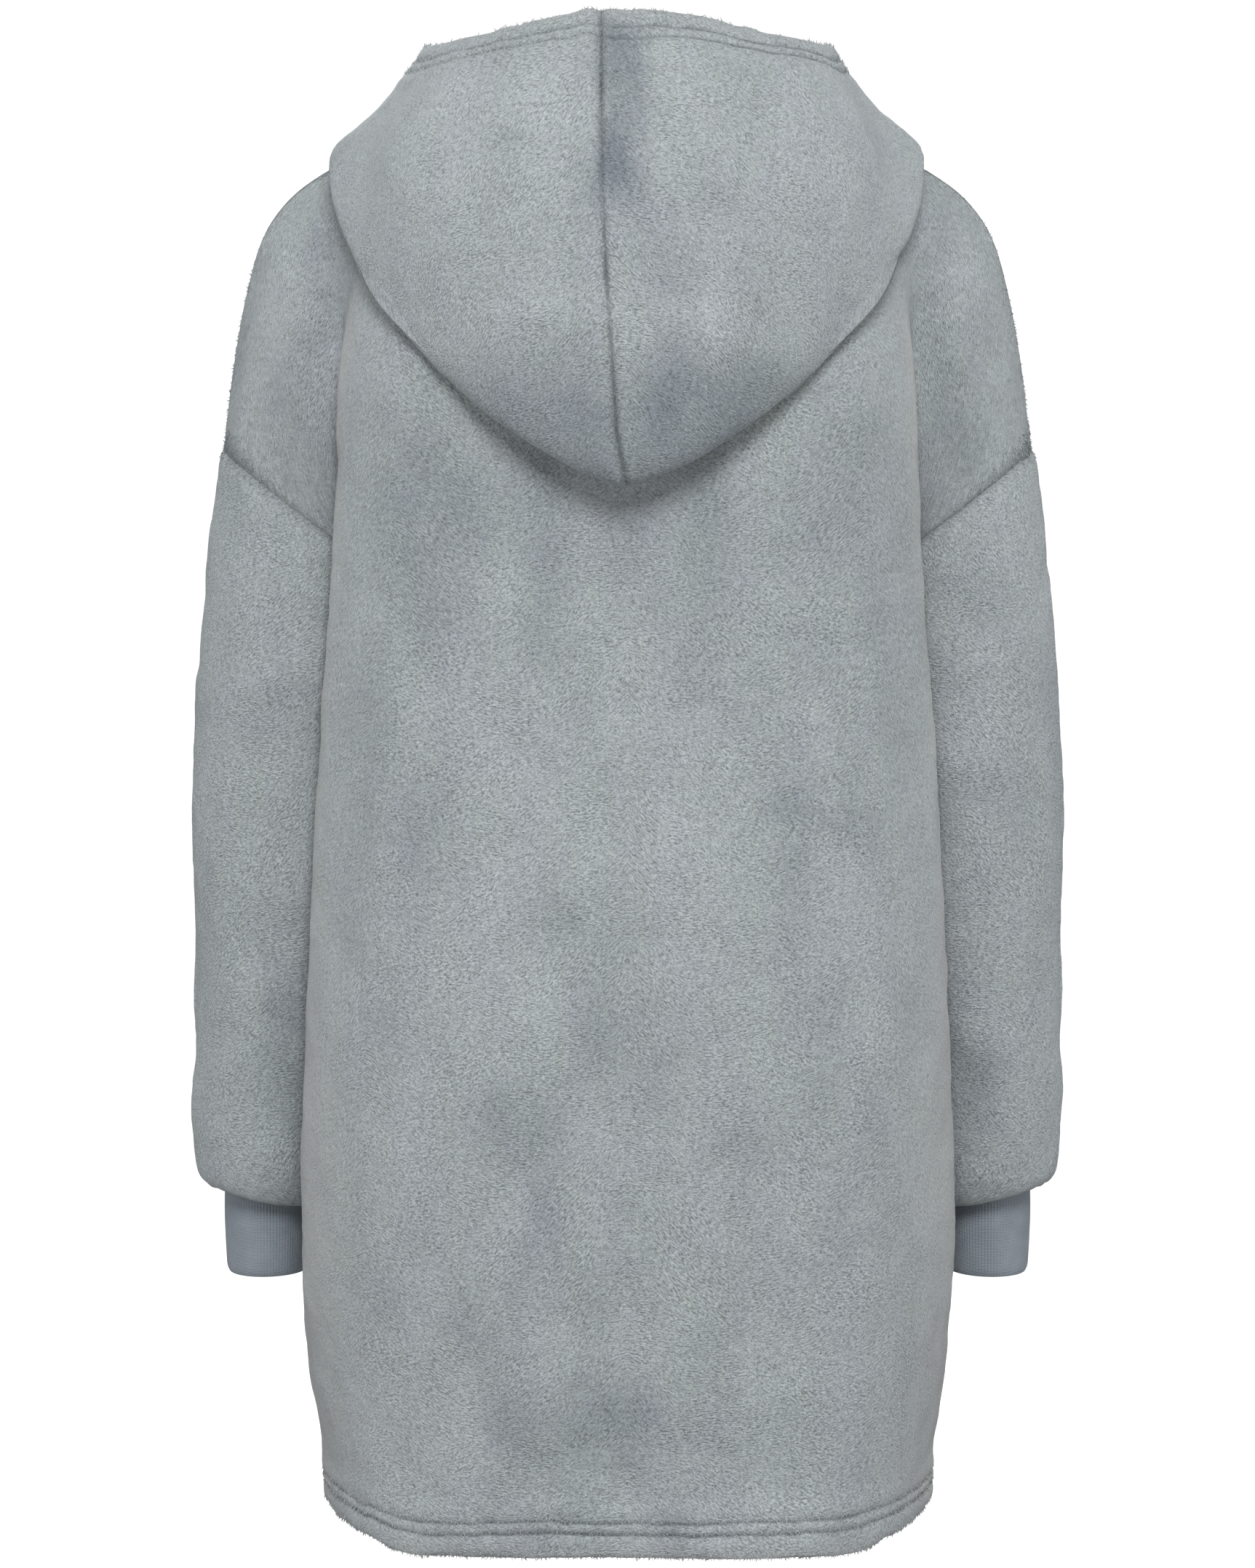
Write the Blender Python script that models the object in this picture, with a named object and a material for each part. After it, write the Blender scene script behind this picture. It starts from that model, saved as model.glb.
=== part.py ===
"""Hooded blanket pullover in its worn form, with no wearer inside.

Metres, +Z up. The garment's front faces -Y and the wearer's left is +X.
The origin is between the shoulders, level with the high points beside the neck.
Every cloth piece is a thin wall: a grid of points on the cloth's right side,
and the same grid moved in by the cloth's thickness.
"""

import bpy
import numpy as np
from mathutils import Vector
from mathutils.bvhtree import BVHTree

CLOTH = 0.003
SEAM_GAP = 0.0003
ARMHOLE_GAP = 0.0010
ARMPIT_GAP = 0.0035
NECK_GAP = 0.0012
LAY_GAP = 0.0062
SLEEVE_GAP = 0.0035
LAY_REACH = 0.03
STITCH_DEPTH = 0.0007

HEM_Z = -0.857
HEM_LINES = (0.0150, 0.0225)
RIM_LINES = (0.0125, 0.0190)

# The neckline: half width at the high shoulder point, then how far it dips at the back and the front.
NECK_HALF = 0.086
NECK_SIDE_Y = 0.004
NECK_BACK_Y, NECK_BACK_Z = 0.072, -0.032
NECK_FRONT_Y, NECK_FRONT_Z = -0.104, -0.094

# The dropped shoulder seam, from the neck over the shoulder and down the outside of the arm.
SHOULDER_SEAM = (
    # x, y, z
    (0.086, 0.004, 0.000),
    (0.118, 0.000, -0.009),
    (0.148, -0.003, -0.021),
    (0.1845, -0.006, -0.0385),
    (0.2072, -0.008, -0.0552),
    (0.2230, -0.009, -0.0770),
    (0.2340, -0.010, -0.1120),
    (0.2422, -0.011, -0.1560),
    (0.2478, -0.012, -0.2090),
)
SHOULDER_STOPS = (0.0, 1.75, 3.3, 5.3, 8.0)

# The armhole is an ellipse on a slope: its highest point is outside the arm, its lowest the armpit.
ARMHOLE_X, ARMHOLE_Y = 0.1960, -0.012
ARMHOLE_HALF_X, ARMHOLE_HALF_Y = 0.0518, 0.0520
ARMHOLE_TOP_Z, ARMHOLE_SLOPE = -0.209, 0.755
ARMHOLE_STOPS = (0, 38, 78, 120, 180)

# The upper back and front, one row for each line of cloth from the shoulder to the armpit.
# Each row: height and depth at the centre, then the body's fold, the hollow beside it and the arm.
BACK_YOKE = (
    # centre (z, y), fold (x, y, z), hollow (x, y, z), arm (x, y, z)
    ((-0.098, 0.106), (0.152, 0.050, -0.076), (0.184, 0.026, -0.088), (0.214, 0.018, -0.118)),
    ((-0.165, 0.115), (0.1700, 0.057, -0.146), (0.1730, 0.028, -0.156), (0.198, 0.036, -0.182)),
    ((-0.230, 0.118), (0.1738, 0.055, -0.220), (0.1620, 0.036, -0.228), (0.1650, 0.0345, -0.247)),
    ((-0.290, 0.119), (0.1775, 0.051, -0.288), (0.1600, 0.028, -0.290), (0.1475, 0.010, -0.2925)),
)
FRONT_YOKE = (
    ((-0.140, -0.117), (0.148, -0.054, -0.078), (0.180, -0.044, -0.092), (0.212, -0.042, -0.122)),
    ((-0.190, -0.123), (0.152, -0.084, -0.146), (0.167, -0.066, -0.158), (0.196, -0.062, -0.186)),
    ((-0.242, -0.126), (0.150, -0.088, -0.220), (0.157, -0.063, -0.230), (0.166, -0.057, -0.249)),
    ((-0.290, -0.128), (0.146, -0.088, -0.288), (0.1485, -0.060, -0.290), (0.1435, -0.034, -0.2935)),
)

# The body below the armpits, level by level. The back's fold is its widest point.
BODY_LEVELS = (
    # z, back y, fold x, fold y, side x, side y, front corner x, front corner y, front y
    (-0.355, 0.122, 0.1835, 0.047, 0.1425, -0.018, 0.144, -0.092, -0.131),
    (-0.440, 0.127, 0.1885, 0.043, 0.1465, -0.022, 0.145, -0.095, -0.134),
    (-0.530, 0.132, 0.1932, 0.040, 0.1530, -0.026, 0.148, -0.097, -0.137),
    (-0.615, 0.137, 0.1974, 0.037, 0.1580, -0.030, 0.153, -0.099, -0.139),
    (-0.685, 0.141, 0.1985, 0.031, 0.1690, -0.028, 0.160, -0.099, -0.140),
    (-0.755, 0.144, 0.1962, 0.023, 0.1790, -0.022, 0.164, -0.094, -0.140),
    (-0.812, 0.1455, 0.1900, 0.014, 0.1825, -0.017, 0.163, -0.090, -0.138),
    (-0.857, 0.146, 0.1858, 0.006, 0.1825, -0.014, 0.161, -0.087, -0.136),
)

# The sleeve below the armhole. The last rows roll under and up to the cuff's seam.
SLEEVE_RINGS = (
    # outer z, inner z, centre x, centre y, half width, half depth
    (-0.262, -0.318, 0.2045, -0.014, 0.0515, 0.0535),
    (-0.325, -0.358, 0.2078, -0.018, 0.0548, 0.0555),
    (-0.392, -0.410, 0.2124, -0.023, 0.0544, 0.0560),
    (-0.470, -0.475, 0.2158, -0.029, 0.0533, 0.0560),
    (-0.550, -0.550, 0.2172, -0.035, 0.0512, 0.0550),
    (-0.610, -0.612, 0.2195, -0.040, 0.0515, 0.0545),
    (-0.643, -0.650, 0.2212, -0.043, 0.0497, 0.0535),
    (-0.6595, -0.6700, 0.2235, -0.044, 0.0445, 0.0495),
    (-0.6640, -0.6785, 0.2252, -0.045, 0.0375, 0.0435),
    (-0.6610, -0.6720, 0.2260, -0.045, 0.0305, 0.0355),
    (-0.6550, -0.6620, 0.2263, -0.045, 0.0260, 0.0303),
)

CUFF_X, CUFF_Y = 0.2263, -0.045
CUFF_HALF_X, CUFF_HALF_Y = 0.0247, 0.0290
CUFF_TOP_Z, CUFF_BOTTOM_Z = -0.6550, -0.7215
CUFF_RIBS, RIB_RISE = 28, 0.0006

# The hood lying down, one row for each direction round the neck from centre back to centre front.
HOOD_SECTIONS = (
    # fold (x, y, z), rim (x, y, z), swell, how far the cloth is laid over
    ((0.000, 0.153, -0.2275), (0.000, 0.126, 0.0450), 0.030, 1.00),
    ((0.068, 0.140, -0.1970), (0.034, 0.1235, 0.0425), 0.029, 1.00),
    ((0.110, 0.115, -0.1610), (0.064, 0.1135, 0.0370), 0.026, 1.00),
    ((0.143, 0.084, -0.1180), (0.091, 0.0975, 0.0320), 0.020, 1.00),
    ((0.1665, 0.048, -0.0740), (0.112, 0.071, 0.0290), 0.005, 1.00),
    ((0.1720, 0.014, -0.0350), (0.121, 0.036, 0.0270), -0.003, 1.00),
    ((0.160, -0.026, -0.0400), (0.118, -0.004, 0.0210), 0.000, 0.96),
    ((0.136, -0.062, -0.0640), (0.104, -0.042, 0.0080), 0.000, 0.80),
    ((0.100, -0.092, -0.0800), (0.079, -0.074, -0.0130), 0.000, 0.45),
    ((0.055, -0.112, -0.0900), (0.046, -0.097, -0.0400), 0.000, 0.14),
    ((0.000, -0.118, -0.0980), (0.001, -0.110, -0.0600), 0.000, 0.00),
)
HOOD_ROLL = 0.0085
HOOD_SEAM_SHIFT = 0.018

# Soft folds of the cloth, each a ridge (or trough, below zero) from one point towards another.
FOLDS = (
    # start (x, z), end (x, z), half width, rise
    ((0.095, -0.300), (0.060, -0.800), 0.030, 0.0035),
    ((-0.020, -0.360), (-0.045, -0.830), 0.034, 0.0030),
    ((-0.120, -0.330), (-0.140, -0.780), 0.028, 0.0035),
    ((0.150, -0.400), (0.155, -0.820), 0.020, -0.0030),
    ((-0.085, -0.480), (-0.090, -0.840), 0.022, -0.0030),
    ((0.165, -0.130), (0.110, -0.215), 0.014, 0.0025),
    ((-0.165, -0.135), (-0.115, -0.230), 0.014, 0.0025),
)
SLEEVE_FOLDS = (
    # direction round the arm in degrees, z, spread in degrees, half height, rise
    (100, -0.345, 70, 0.016, 0.0035),
    (60, -0.420, 60, 0.014, 0.0030),
    (130, -0.500, 75, 0.018, -0.0030),
    (250, -0.400, 80, 0.015, 0.0040),
    (290, -0.470, 70, 0.014, -0.0035),
    (70, -0.585, 60, 0.015, 0.0035),
    (215, -0.600, 70, 0.016, 0.0035),
    (330, -0.560, 60, 0.016, 0.0030),
)

BODY_STEPS = (3, 3, 3, 2, 2, 2)
YOKE_STEPS = (3, 2, 3, 3)
LEVEL_STEPS = (1, 1, 1, 1, 1, 1, 1)


def smooth_curve(stops, steps, before=None, after=None):
    """Points on a smooth curve through the stops, with so many steps between each pair."""
    stops = np.asarray(stops, float)
    before = 2 * stops[0] - stops[1] if before is None else before
    after = 2 * stops[-1] - stops[-2] if after is None else after
    line = np.vstack([before, stops, after])
    gaps = np.maximum(np.linalg.norm(np.diff(line, axis=0), axis=1), 1e-6) ** 0.5
    found = [stops[0]]
    for i, count in enumerate(steps):
        p0, p1, p2, p3 = line[i : i + 4]
        g0, g1, g2 = gaps[i : i + 3]
        leave = (p1 - p0) / g0 - (p2 - p0) / (g0 + g1) + (p2 - p1) / g1
        arrive = (p2 - p1) / g1 - (p3 - p1) / (g1 + g2) + (p3 - p2) / g2
        for step in range(1, count + 1):
            t = step / count
            found.append(
                (2 * t**3 - 3 * t**2 + 1) * p1
                + (t**3 - 2 * t**2 + t) * g1 * leave
                + (3 * t**2 - 2 * t**3) * p2
                + (t**3 - t**2) * g1 * arrive
            )
    return np.array(found)


def along(table, place):
    """The point at a place between the rows of a table."""
    table = np.asarray(table, float)
    rows = np.arange(len(table))
    return np.array([np.interp(place, rows, table[:, axis]) for axis in range(3)])


def neckline(turn):
    """A point of the neckline. The turn is 0 at the centre back, 90 beside the neck, 180 in front."""
    side, back = np.sin(np.radians(turn)), np.cos(np.radians(turn))
    if back >= 0:
        y = NECK_SIDE_Y + (NECK_BACK_Y - NECK_SIDE_Y) * back
        z = NECK_BACK_Z * back**1.3
    else:
        y = NECK_SIDE_Y + (NECK_SIDE_Y - NECK_FRONT_Y) * back
        z = NECK_FRONT_Z * (-back) ** 1.5
    return np.array([NECK_HALF * side, y, z])


def armhole(turn):
    """A point of the armhole seam. The turn is 0 outside the arm, 90 at its back, 180 at the armpit."""
    x = ARMHOLE_X + ARMHOLE_HALF_X * np.cos(np.radians(turn))
    y = ARMHOLE_Y + ARMHOLE_HALF_Y * np.sin(np.radians(turn))
    z = ARMHOLE_TOP_Z - ARMHOLE_SLOPE * (ARMHOLE_X + ARMHOLE_HALF_X - x)
    return np.array([x, y, z])


def body_arc(centre_y, centre_z, fold):
    """Stops on the body from its centre to its fold: flat in the middle, then a rounded corner."""
    stops = []
    for across, deep in ((0.0, 1.0), (0.50, 0.975), (0.80, 0.73)):
        y = fold[1] + (centre_y - fold[1]) * deep
        z = centre_z + (fold[2] - centre_z) * across**1.5
        stops.append((fold[0] * across, y, z))
    return stops + [fold]


def yoke_row(row, turn):
    """Stops of one line of cloth above the armpit, from the centre to the armhole seam."""
    (centre_z, centre_y), fold, hollow, arm = row
    return body_arc(centre_y, centre_z, fold) + [hollow, arm, tuple(armhole(turn))]


def level_row(level, back):
    """Stops of one level of the body below the armpits, from the centre to the side seam."""
    z, back_y, fold_x, fold_y, side_x, side_y, corner_x, corner_y, front_y = level
    if back:
        fold, centre_y = (fold_x, fold_y, z), back_y
        hollow = (0.45 * fold_x + 0.55 * side_x, fold_y + 0.50 * (side_y - fold_y), z)
        last = (0.14 * fold_x + 0.86 * side_x, fold_y + 0.78 * (side_y - fold_y), z)
    else:
        fold, centre_y = (corner_x, corner_y, z), front_y
        hollow = (0.45 * corner_x + 0.55 * side_x, corner_y + 0.42 * (side_y - corner_y), z)
        last = (0.14 * corner_x + 0.86 * side_x, corner_y + 0.74 * (side_y - corner_y), z)
    return body_arc(centre_y, z, fold) + [hollow, last, (side_x, side_y, z)]


def shoulder_row(back):
    """The top line of a panel: the neckline, then the shoulder seam, at every column."""
    count = BODY_STEPS[0] + BODY_STEPS[1]
    first, last = (0, 90) if back else (180, 90)
    neck = [neckline(turn) for turn in np.linspace(first, last, count + 1)]
    seam = []
    stops = [SHOULDER_STOPS[i] for i in range(len(SHOULDER_STOPS))]
    for start, end, steps in zip(stops, stops[1:], BODY_STEPS[2:]):
        for step in range(1, steps + 1):
            seam.append(along(SHOULDER_SEAM, start + (end - start) * step / steps))
    return np.array(neck + seam)


def half_panel(back):
    """The grid of half a panel: rows from the shoulder to the hem, columns from the centre out."""
    yoke = BACK_YOKE if back else FRONT_YOKE
    sign = 1 if back else -1
    rows = [shoulder_row(back)]
    for row, turn in zip(yoke, ARMHOLE_STOPS[1:]):
        stops = yoke_row(row, sign * turn)
        mirrored = np.array(stops[1]) * (-1, 1, 1)
        rows.append(smooth_curve(stops, BODY_STEPS, before=mirrored))
    for level in BODY_LEVELS:
        stops = level_row(level, back)
        mirrored = np.array(stops[1]) * (-1, 1, 1)
        beyond = level_row(level, not back)[-2]
        rows.append(smooth_curve(stops, BODY_STEPS, before=mirrored, after=beyond))
    rows = np.array(rows)
    steps = YOKE_STEPS + (1,) + LEVEL_STEPS
    columns = []
    for i in range(rows.shape[1]):
        columns.append(smooth_curve(rows[:, i], steps))
    grid = np.array(columns).swapaxes(0, 1)
    count = sum(YOKE_STEPS)
    for i, turn in enumerate(armhole_turns()):
        grid[i, -1] = armhole(sign * turn)
    return hem_rows(grid, count)


def armhole_turns():
    """The turn of each row's end on the armhole seam."""
    turns = [ARMHOLE_STOPS[0]]
    for start, end, steps in zip(ARMHOLE_STOPS, ARMHOLE_STOPS[1:], YOKE_STEPS):
        turns += [start + (end - start) * step / steps for step in range(1, steps + 1)]
    return turns


def hem_rows(grid, keep):
    """The grid with more rows near the hem, for the two lines of stitching."""
    heights = []
    for line in HEM_LINES[::-1]:
        heights += [HEM_Z + line + 0.0022, HEM_Z + line]
    heights += [HEM_Z + HEM_LINES[0] - 0.0022]
    last, above = grid[-1], grid[-2]
    added = []
    for height in heights:
        share = (height - above[:, 2]) / (last[:, 2] - above[:, 2])
        added.append(above + (last - above) * share[:, None])
    return np.vstack([grid[:-1], added, [last]])


def whole(half):
    """A half panel and its mirror image as one grid across the body."""
    mirrored = half[:, :0:-1] * (-1, 1, 1)
    return np.concatenate([mirrored, half], axis=1)


def sleeve_grid():
    """The left sleeve: rings round the arm, from the armhole down to the cuff's seam."""
    turns = armhole_turns()
    turns = np.array(turns + [360 - turn for turn in turns[-2:0:-1]])
    rings = [np.array([armhole(turn) for turn in turns])]
    across, round_ = np.cos(np.radians(turns)), np.sin(np.radians(turns))
    for outer_z, inner_z, x, y, half_x, half_y in SLEEVE_RINGS:
        z = outer_z + (inner_z - outer_z) * (1 - across) / 2
        rings.append(np.stack([x + half_x * across, y + half_y * round_, z], axis=1))
    rings = np.array(rings)
    steps = (2, 2, 2, 2, 2, 2, 1, 1, 1, 1, 1)
    columns = [smooth_curve(rings[:, i], steps) for i in range(rings.shape[1])]
    return np.array(columns).swapaxes(0, 1)


def cuff_grid():
    """The left cuff: a knitted tube whose ribs are raised on the right side only."""
    turns = np.linspace(0, 360, 2 * CUFF_RIBS, endpoint=False)
    raised = np.where(np.arange(len(turns)) % 2 == 0, RIB_RISE, -RIB_RISE)
    rings = []
    for share in (0.0, 0.95, 1.0):
        z = CUFF_TOP_Z + (CUFF_BOTTOM_Z - CUFF_TOP_Z) * share
        pull_in = 0.0012 if share == 1.0 else 0.0
        x = CUFF_X + (CUFF_HALF_X - pull_in + raised) * np.cos(np.radians(turns))
        y = CUFF_Y + (CUFF_HALF_Y - pull_in + raised) * np.sin(np.radians(turns))
        rings.append(np.stack([x, y, np.full(len(turns), z)], axis=1))
    return np.array(rings)


def hood_profile(section, turn):
    """Stops of the hood's cloth in one direction, from the neckline to the rim."""
    fold, rim, swell, laid = section
    fold, rim, neck = np.array(fold), np.array(rim), neckline(turn)
    out = np.array([np.sin(np.radians(turn)), np.cos(np.radians(turn)), 0])
    up = np.array([0, 0, 1])
    low_in = fold - out * HOOD_ROLL + up * HOOD_ROLL
    low_out = fold + out * HOOD_ROLL + up * HOOD_ROLL
    lip = neck + out * 0.012 + up * 0.020
    over = neck + out * 0.026 + up * 0.010
    down = (over + low_in) / 2
    middle = low_out + (rim - low_out) * 0.45 + out * swell
    high = low_out + (rim - low_out) * 0.82 + out * swell * 0.72
    laid_over = [neck, lip, over, down, low_in, fold, low_out, middle, high, rim]
    shares = np.linspace(0, 1, len(laid_over))
    standing = [neck + (rim - neck) * share for share in shares]
    return [a + (b - a) * laid for a, b in zip(standing, laid_over)]


def hood_grid():
    """Half the hood: one column of cloth for each direction round the neck."""
    turns = np.linspace(0, 180, len(HOOD_SECTIONS))
    profiles = np.array([hood_profile(s, t) for s, t in zip(HOOD_SECTIONS, turns)])
    before = profiles[1] * (-1, 1, 1)
    after = profiles[-2] * (-1, 1, 1)
    steps = [2] * (len(turns) - 1)
    lines = []
    for i in range(profiles.shape[1]):
        lines.append(smooth_curve(profiles[:, i], steps, before[i], after[i]))
    lines = np.array(lines)
    sections = []
    for i in range(lines.shape[1]):
        section = smooth_curve(lines[:, i], (1, 1, 2, 2, 1, 1, 2, 2, 2))
        sections.append(rim_rows(section))
    return np.array(sections).swapaxes(0, 1)


def rim_rows(section):
    """One section of the hood with more points near its rim, for the two lines of stitching."""
    back = section[::-1]
    lengths = np.cumsum(np.r_[0, np.linalg.norm(np.diff(back, axis=0), axis=1)])
    places = [0.0]
    for line in RIM_LINES:
        places += [line - 0.0020, line]
    places += [RIM_LINES[1] + 0.0020]
    rest = places[-1] + (lengths[1:] / lengths[-1]) * (lengths[-1] - places[-1])
    places = np.r_[places, rest]
    found = [np.interp(places, lengths, back[:, axis]) for axis in range(3)]
    return np.stack(found, axis=1)[::-1]


def shift_seam(grid):
    """The hood's centre seam leans to the wearer's left towards the rim, for both halves."""
    moved = grid.copy()
    for i, row in enumerate(grid):
        outer = max(0.0, (i - 7) / (len(grid) - 8))
        near = np.clip(1 - np.abs(row[:, 0]) / 0.085, 0, 1) ** 1.5
        behind = row[:, 1] > 0
        moved[i, :, 0] += HOOD_SEAM_SHIFT * outer**0.8 * near * behind
    return moved


def face_normals(grid, closed):
    """For each point of the grid, the sum of the normals of the faces round it."""
    rows, columns = grid.shape[:2]
    total = np.zeros_like(grid)
    for i in range(rows - 1):
        for j in range(columns if closed else columns - 1):
            k = (j + 1) % columns
            corners = ((i, j), (i + 1, j), (i + 1, k), (i, k))
            a, b, c, d = (grid[corner] for corner in corners)
            normal = np.cross(c - a, d - b)
            for corner in corners:
                total[corner] += normal
    return total


def shared_normals(pieces):
    """Unit normals for every piece's points, the same on both sides of a seam."""
    at = {}
    sums = {}
    for name, (grid, closed) in pieces.items():
        sums[name] = face_normals(grid, closed)
        for point, normal in zip(grid.reshape(-1, 3), sums[name].reshape(-1, 3)):
            key = tuple(np.round(point, 5))
            at[key] = at.get(key, 0) + normal
    found = {}
    for name, (grid, closed) in pieces.items():
        keys = [tuple(np.round(point, 5)) for point in grid.reshape(-1, 3)]
        normals = np.array([at[key] for key in keys]).reshape(grid.shape)
        found[name] = normals / np.linalg.norm(normals, axis=2, keepdims=True)
    return found


def pull_back(grid, side, gap):
    """How far each point moves so that one side of the grid stands back from its seam."""
    move = np.zeros_like(grid)
    edge, inner = {
        "top": ((0,), (1,)),
        "bottom": ((-1,), (-2,)),
        "first": ((slice(None), 0), (slice(None), 1)),
        "last": ((slice(None), -1), (slice(None), -2)),
    }[side]
    away = grid[inner] - grid[edge]
    move[edge] = away / np.linalg.norm(away, axis=-1, keepdims=True) * gap
    return move


def wall_mesh(name, outer, inner, closed):
    """A closed wall between the two grids, with smooth faces that point out."""
    rows, columns = outer.shape[:2]
    points = np.concatenate([outer.reshape(-1, 3), inner.reshape(-1, 3)])
    far = rows * columns
    faces = []
    spans = columns if closed else columns - 1
    for i in range(rows - 1):
        for j in range(spans):
            k = (j + 1) % columns
            a, b, c, d = i * columns + j, (i + 1) * columns + j, (i + 1) * columns + k, i * columns + k
            faces.append((a, b, c, d))
            faces.append((d + far, c + far, b + far, a + far))
    for j in range(spans):
        k = (j + 1) % columns
        last = (rows - 1) * columns
        faces.append((j, k, k + far, j + far))
        faces.append((last + k, last + j, last + j + far, last + k + far))
    if not closed:
        for i in range(rows - 1):
            a, b = i * columns, (i + 1) * columns
            faces.append((b, a, a + far, b + far))
            a, b = a + columns - 1, b + columns - 1
            faces.append((a, b, b + far, a + far))
    mesh = bpy.data.meshes.new(name)
    mesh.from_pydata([tuple(point) for point in points], [], faces)
    mesh.polygons.foreach_set("use_smooth", [True] * len(mesh.polygons))
    return mesh


def sunk_lines(depth, rows, lines):
    """The stitching's troughs: how far each named row of the grid is moved in."""
    sunk = np.zeros(rows)
    for line in lines:
        sunk[line] = depth
    return sunk


def fold_rise(points, normals):
    """How far the soft folds of the body lift each point."""
    rise = np.zeros(points.shape[:2])
    for start, end, half_width, height in FOLDS:
        start, end = np.array(start), np.array(end)
        span = end - start
        flat = points[..., [0, 2]] - start
        share = (flat @ span) / (span @ span)
        aside = np.abs(flat[..., 0] * span[1] - flat[..., 1] * span[0]) / np.linalg.norm(span)
        ends = np.clip(np.sin(np.pi * np.clip(share, 0, 1)), 0, 1) ** 0.7
        rise += height * ends * np.exp(-((aside / half_width) ** 2))
    behind = np.where(points[..., 1] > 0, 1.0, 0.6)
    return rise * behind * np.abs(normals[..., 1])


def sleeve_rise(points, mirrored):
    """How far the soft folds of a sleeve lift each point."""
    rise = np.zeros(points.shape[:2])
    across = points[..., 0] - 0.214
    turns = np.degrees(np.arctan2(points[..., 1] + 0.028, across)) % 360
    for turn, z, spread, half_height, height in SLEEVE_FOLDS:
        if mirrored:
            turn, z = (turn + 24) % 360, z + 0.018
        off = np.abs((turns - turn + 180) % 360 - 180)
        slope = z + 0.00018 * (turns - turn)
        rise += height * np.exp(-((off / spread) ** 2) - ((points[..., 2] - slope) / half_height) ** 2)
    return rise


def tree_of(grids, first_row):
    """A search tree of the panels' right side, to lay other cloth on it."""
    points, faces = [], []
    for grid in grids:
        rows, columns = grid.shape[:2]
        start = len(points)
        for i in range(first_row, rows - 1):
            for j in range(columns - 1):
                a = start + i * columns + j
                faces.append((a, a + columns, a + columns + 1, a + 1))
        points += [Vector(point) for point in grid.reshape(-1, 3)]
    return BVHTree.FromPolygons(points, faces)


def laid_on(grid, tree, gap):
    """The grid with each point lifted until it is clear of the cloth beneath it."""
    lifted = grid.copy()
    for i in range(1, grid.shape[0]):
        for j in range(grid.shape[1]):
            point = Vector(lifted[i, j])
            place, normal, _, far = tree.find_nearest(point)
            height = (point - place).dot(normal)
            if height < gap and far < LAY_REACH:
                lifted[i, j] = point + normal * (gap - height)
    return lifted


def material(name, colour, roughness):
    made = bpy.data.materials.new(name)
    made.use_nodes = True
    shader = made.node_tree.nodes["Principled BSDF"]
    shader.inputs["Base Color"].default_value = (*colour, 1)
    shader.inputs["Roughness"].default_value = roughness
    shader.inputs["Metallic"].default_value = 0.0
    return made


def add_wall(name, outer, normals, moves, closed, relief, finish, mirror=False):
    """A cloth piece: the grid, its wall, and the small moves that open the seams."""
    inner = outer - normals * CLOTH + moves
    outer = outer + normals * relief[..., None] + moves
    if mirror:
        outer, inner = outer[:, ::-1] * (-1, 1, 1), inner[:, ::-1] * (-1, 1, 1)
    mesh = wall_mesh(name, outer, inner, closed)
    mesh.materials.append(finish)
    made = bpy.data.objects.new(name, mesh)
    bpy.context.scene.collection.objects.link(made)
    return made


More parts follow.
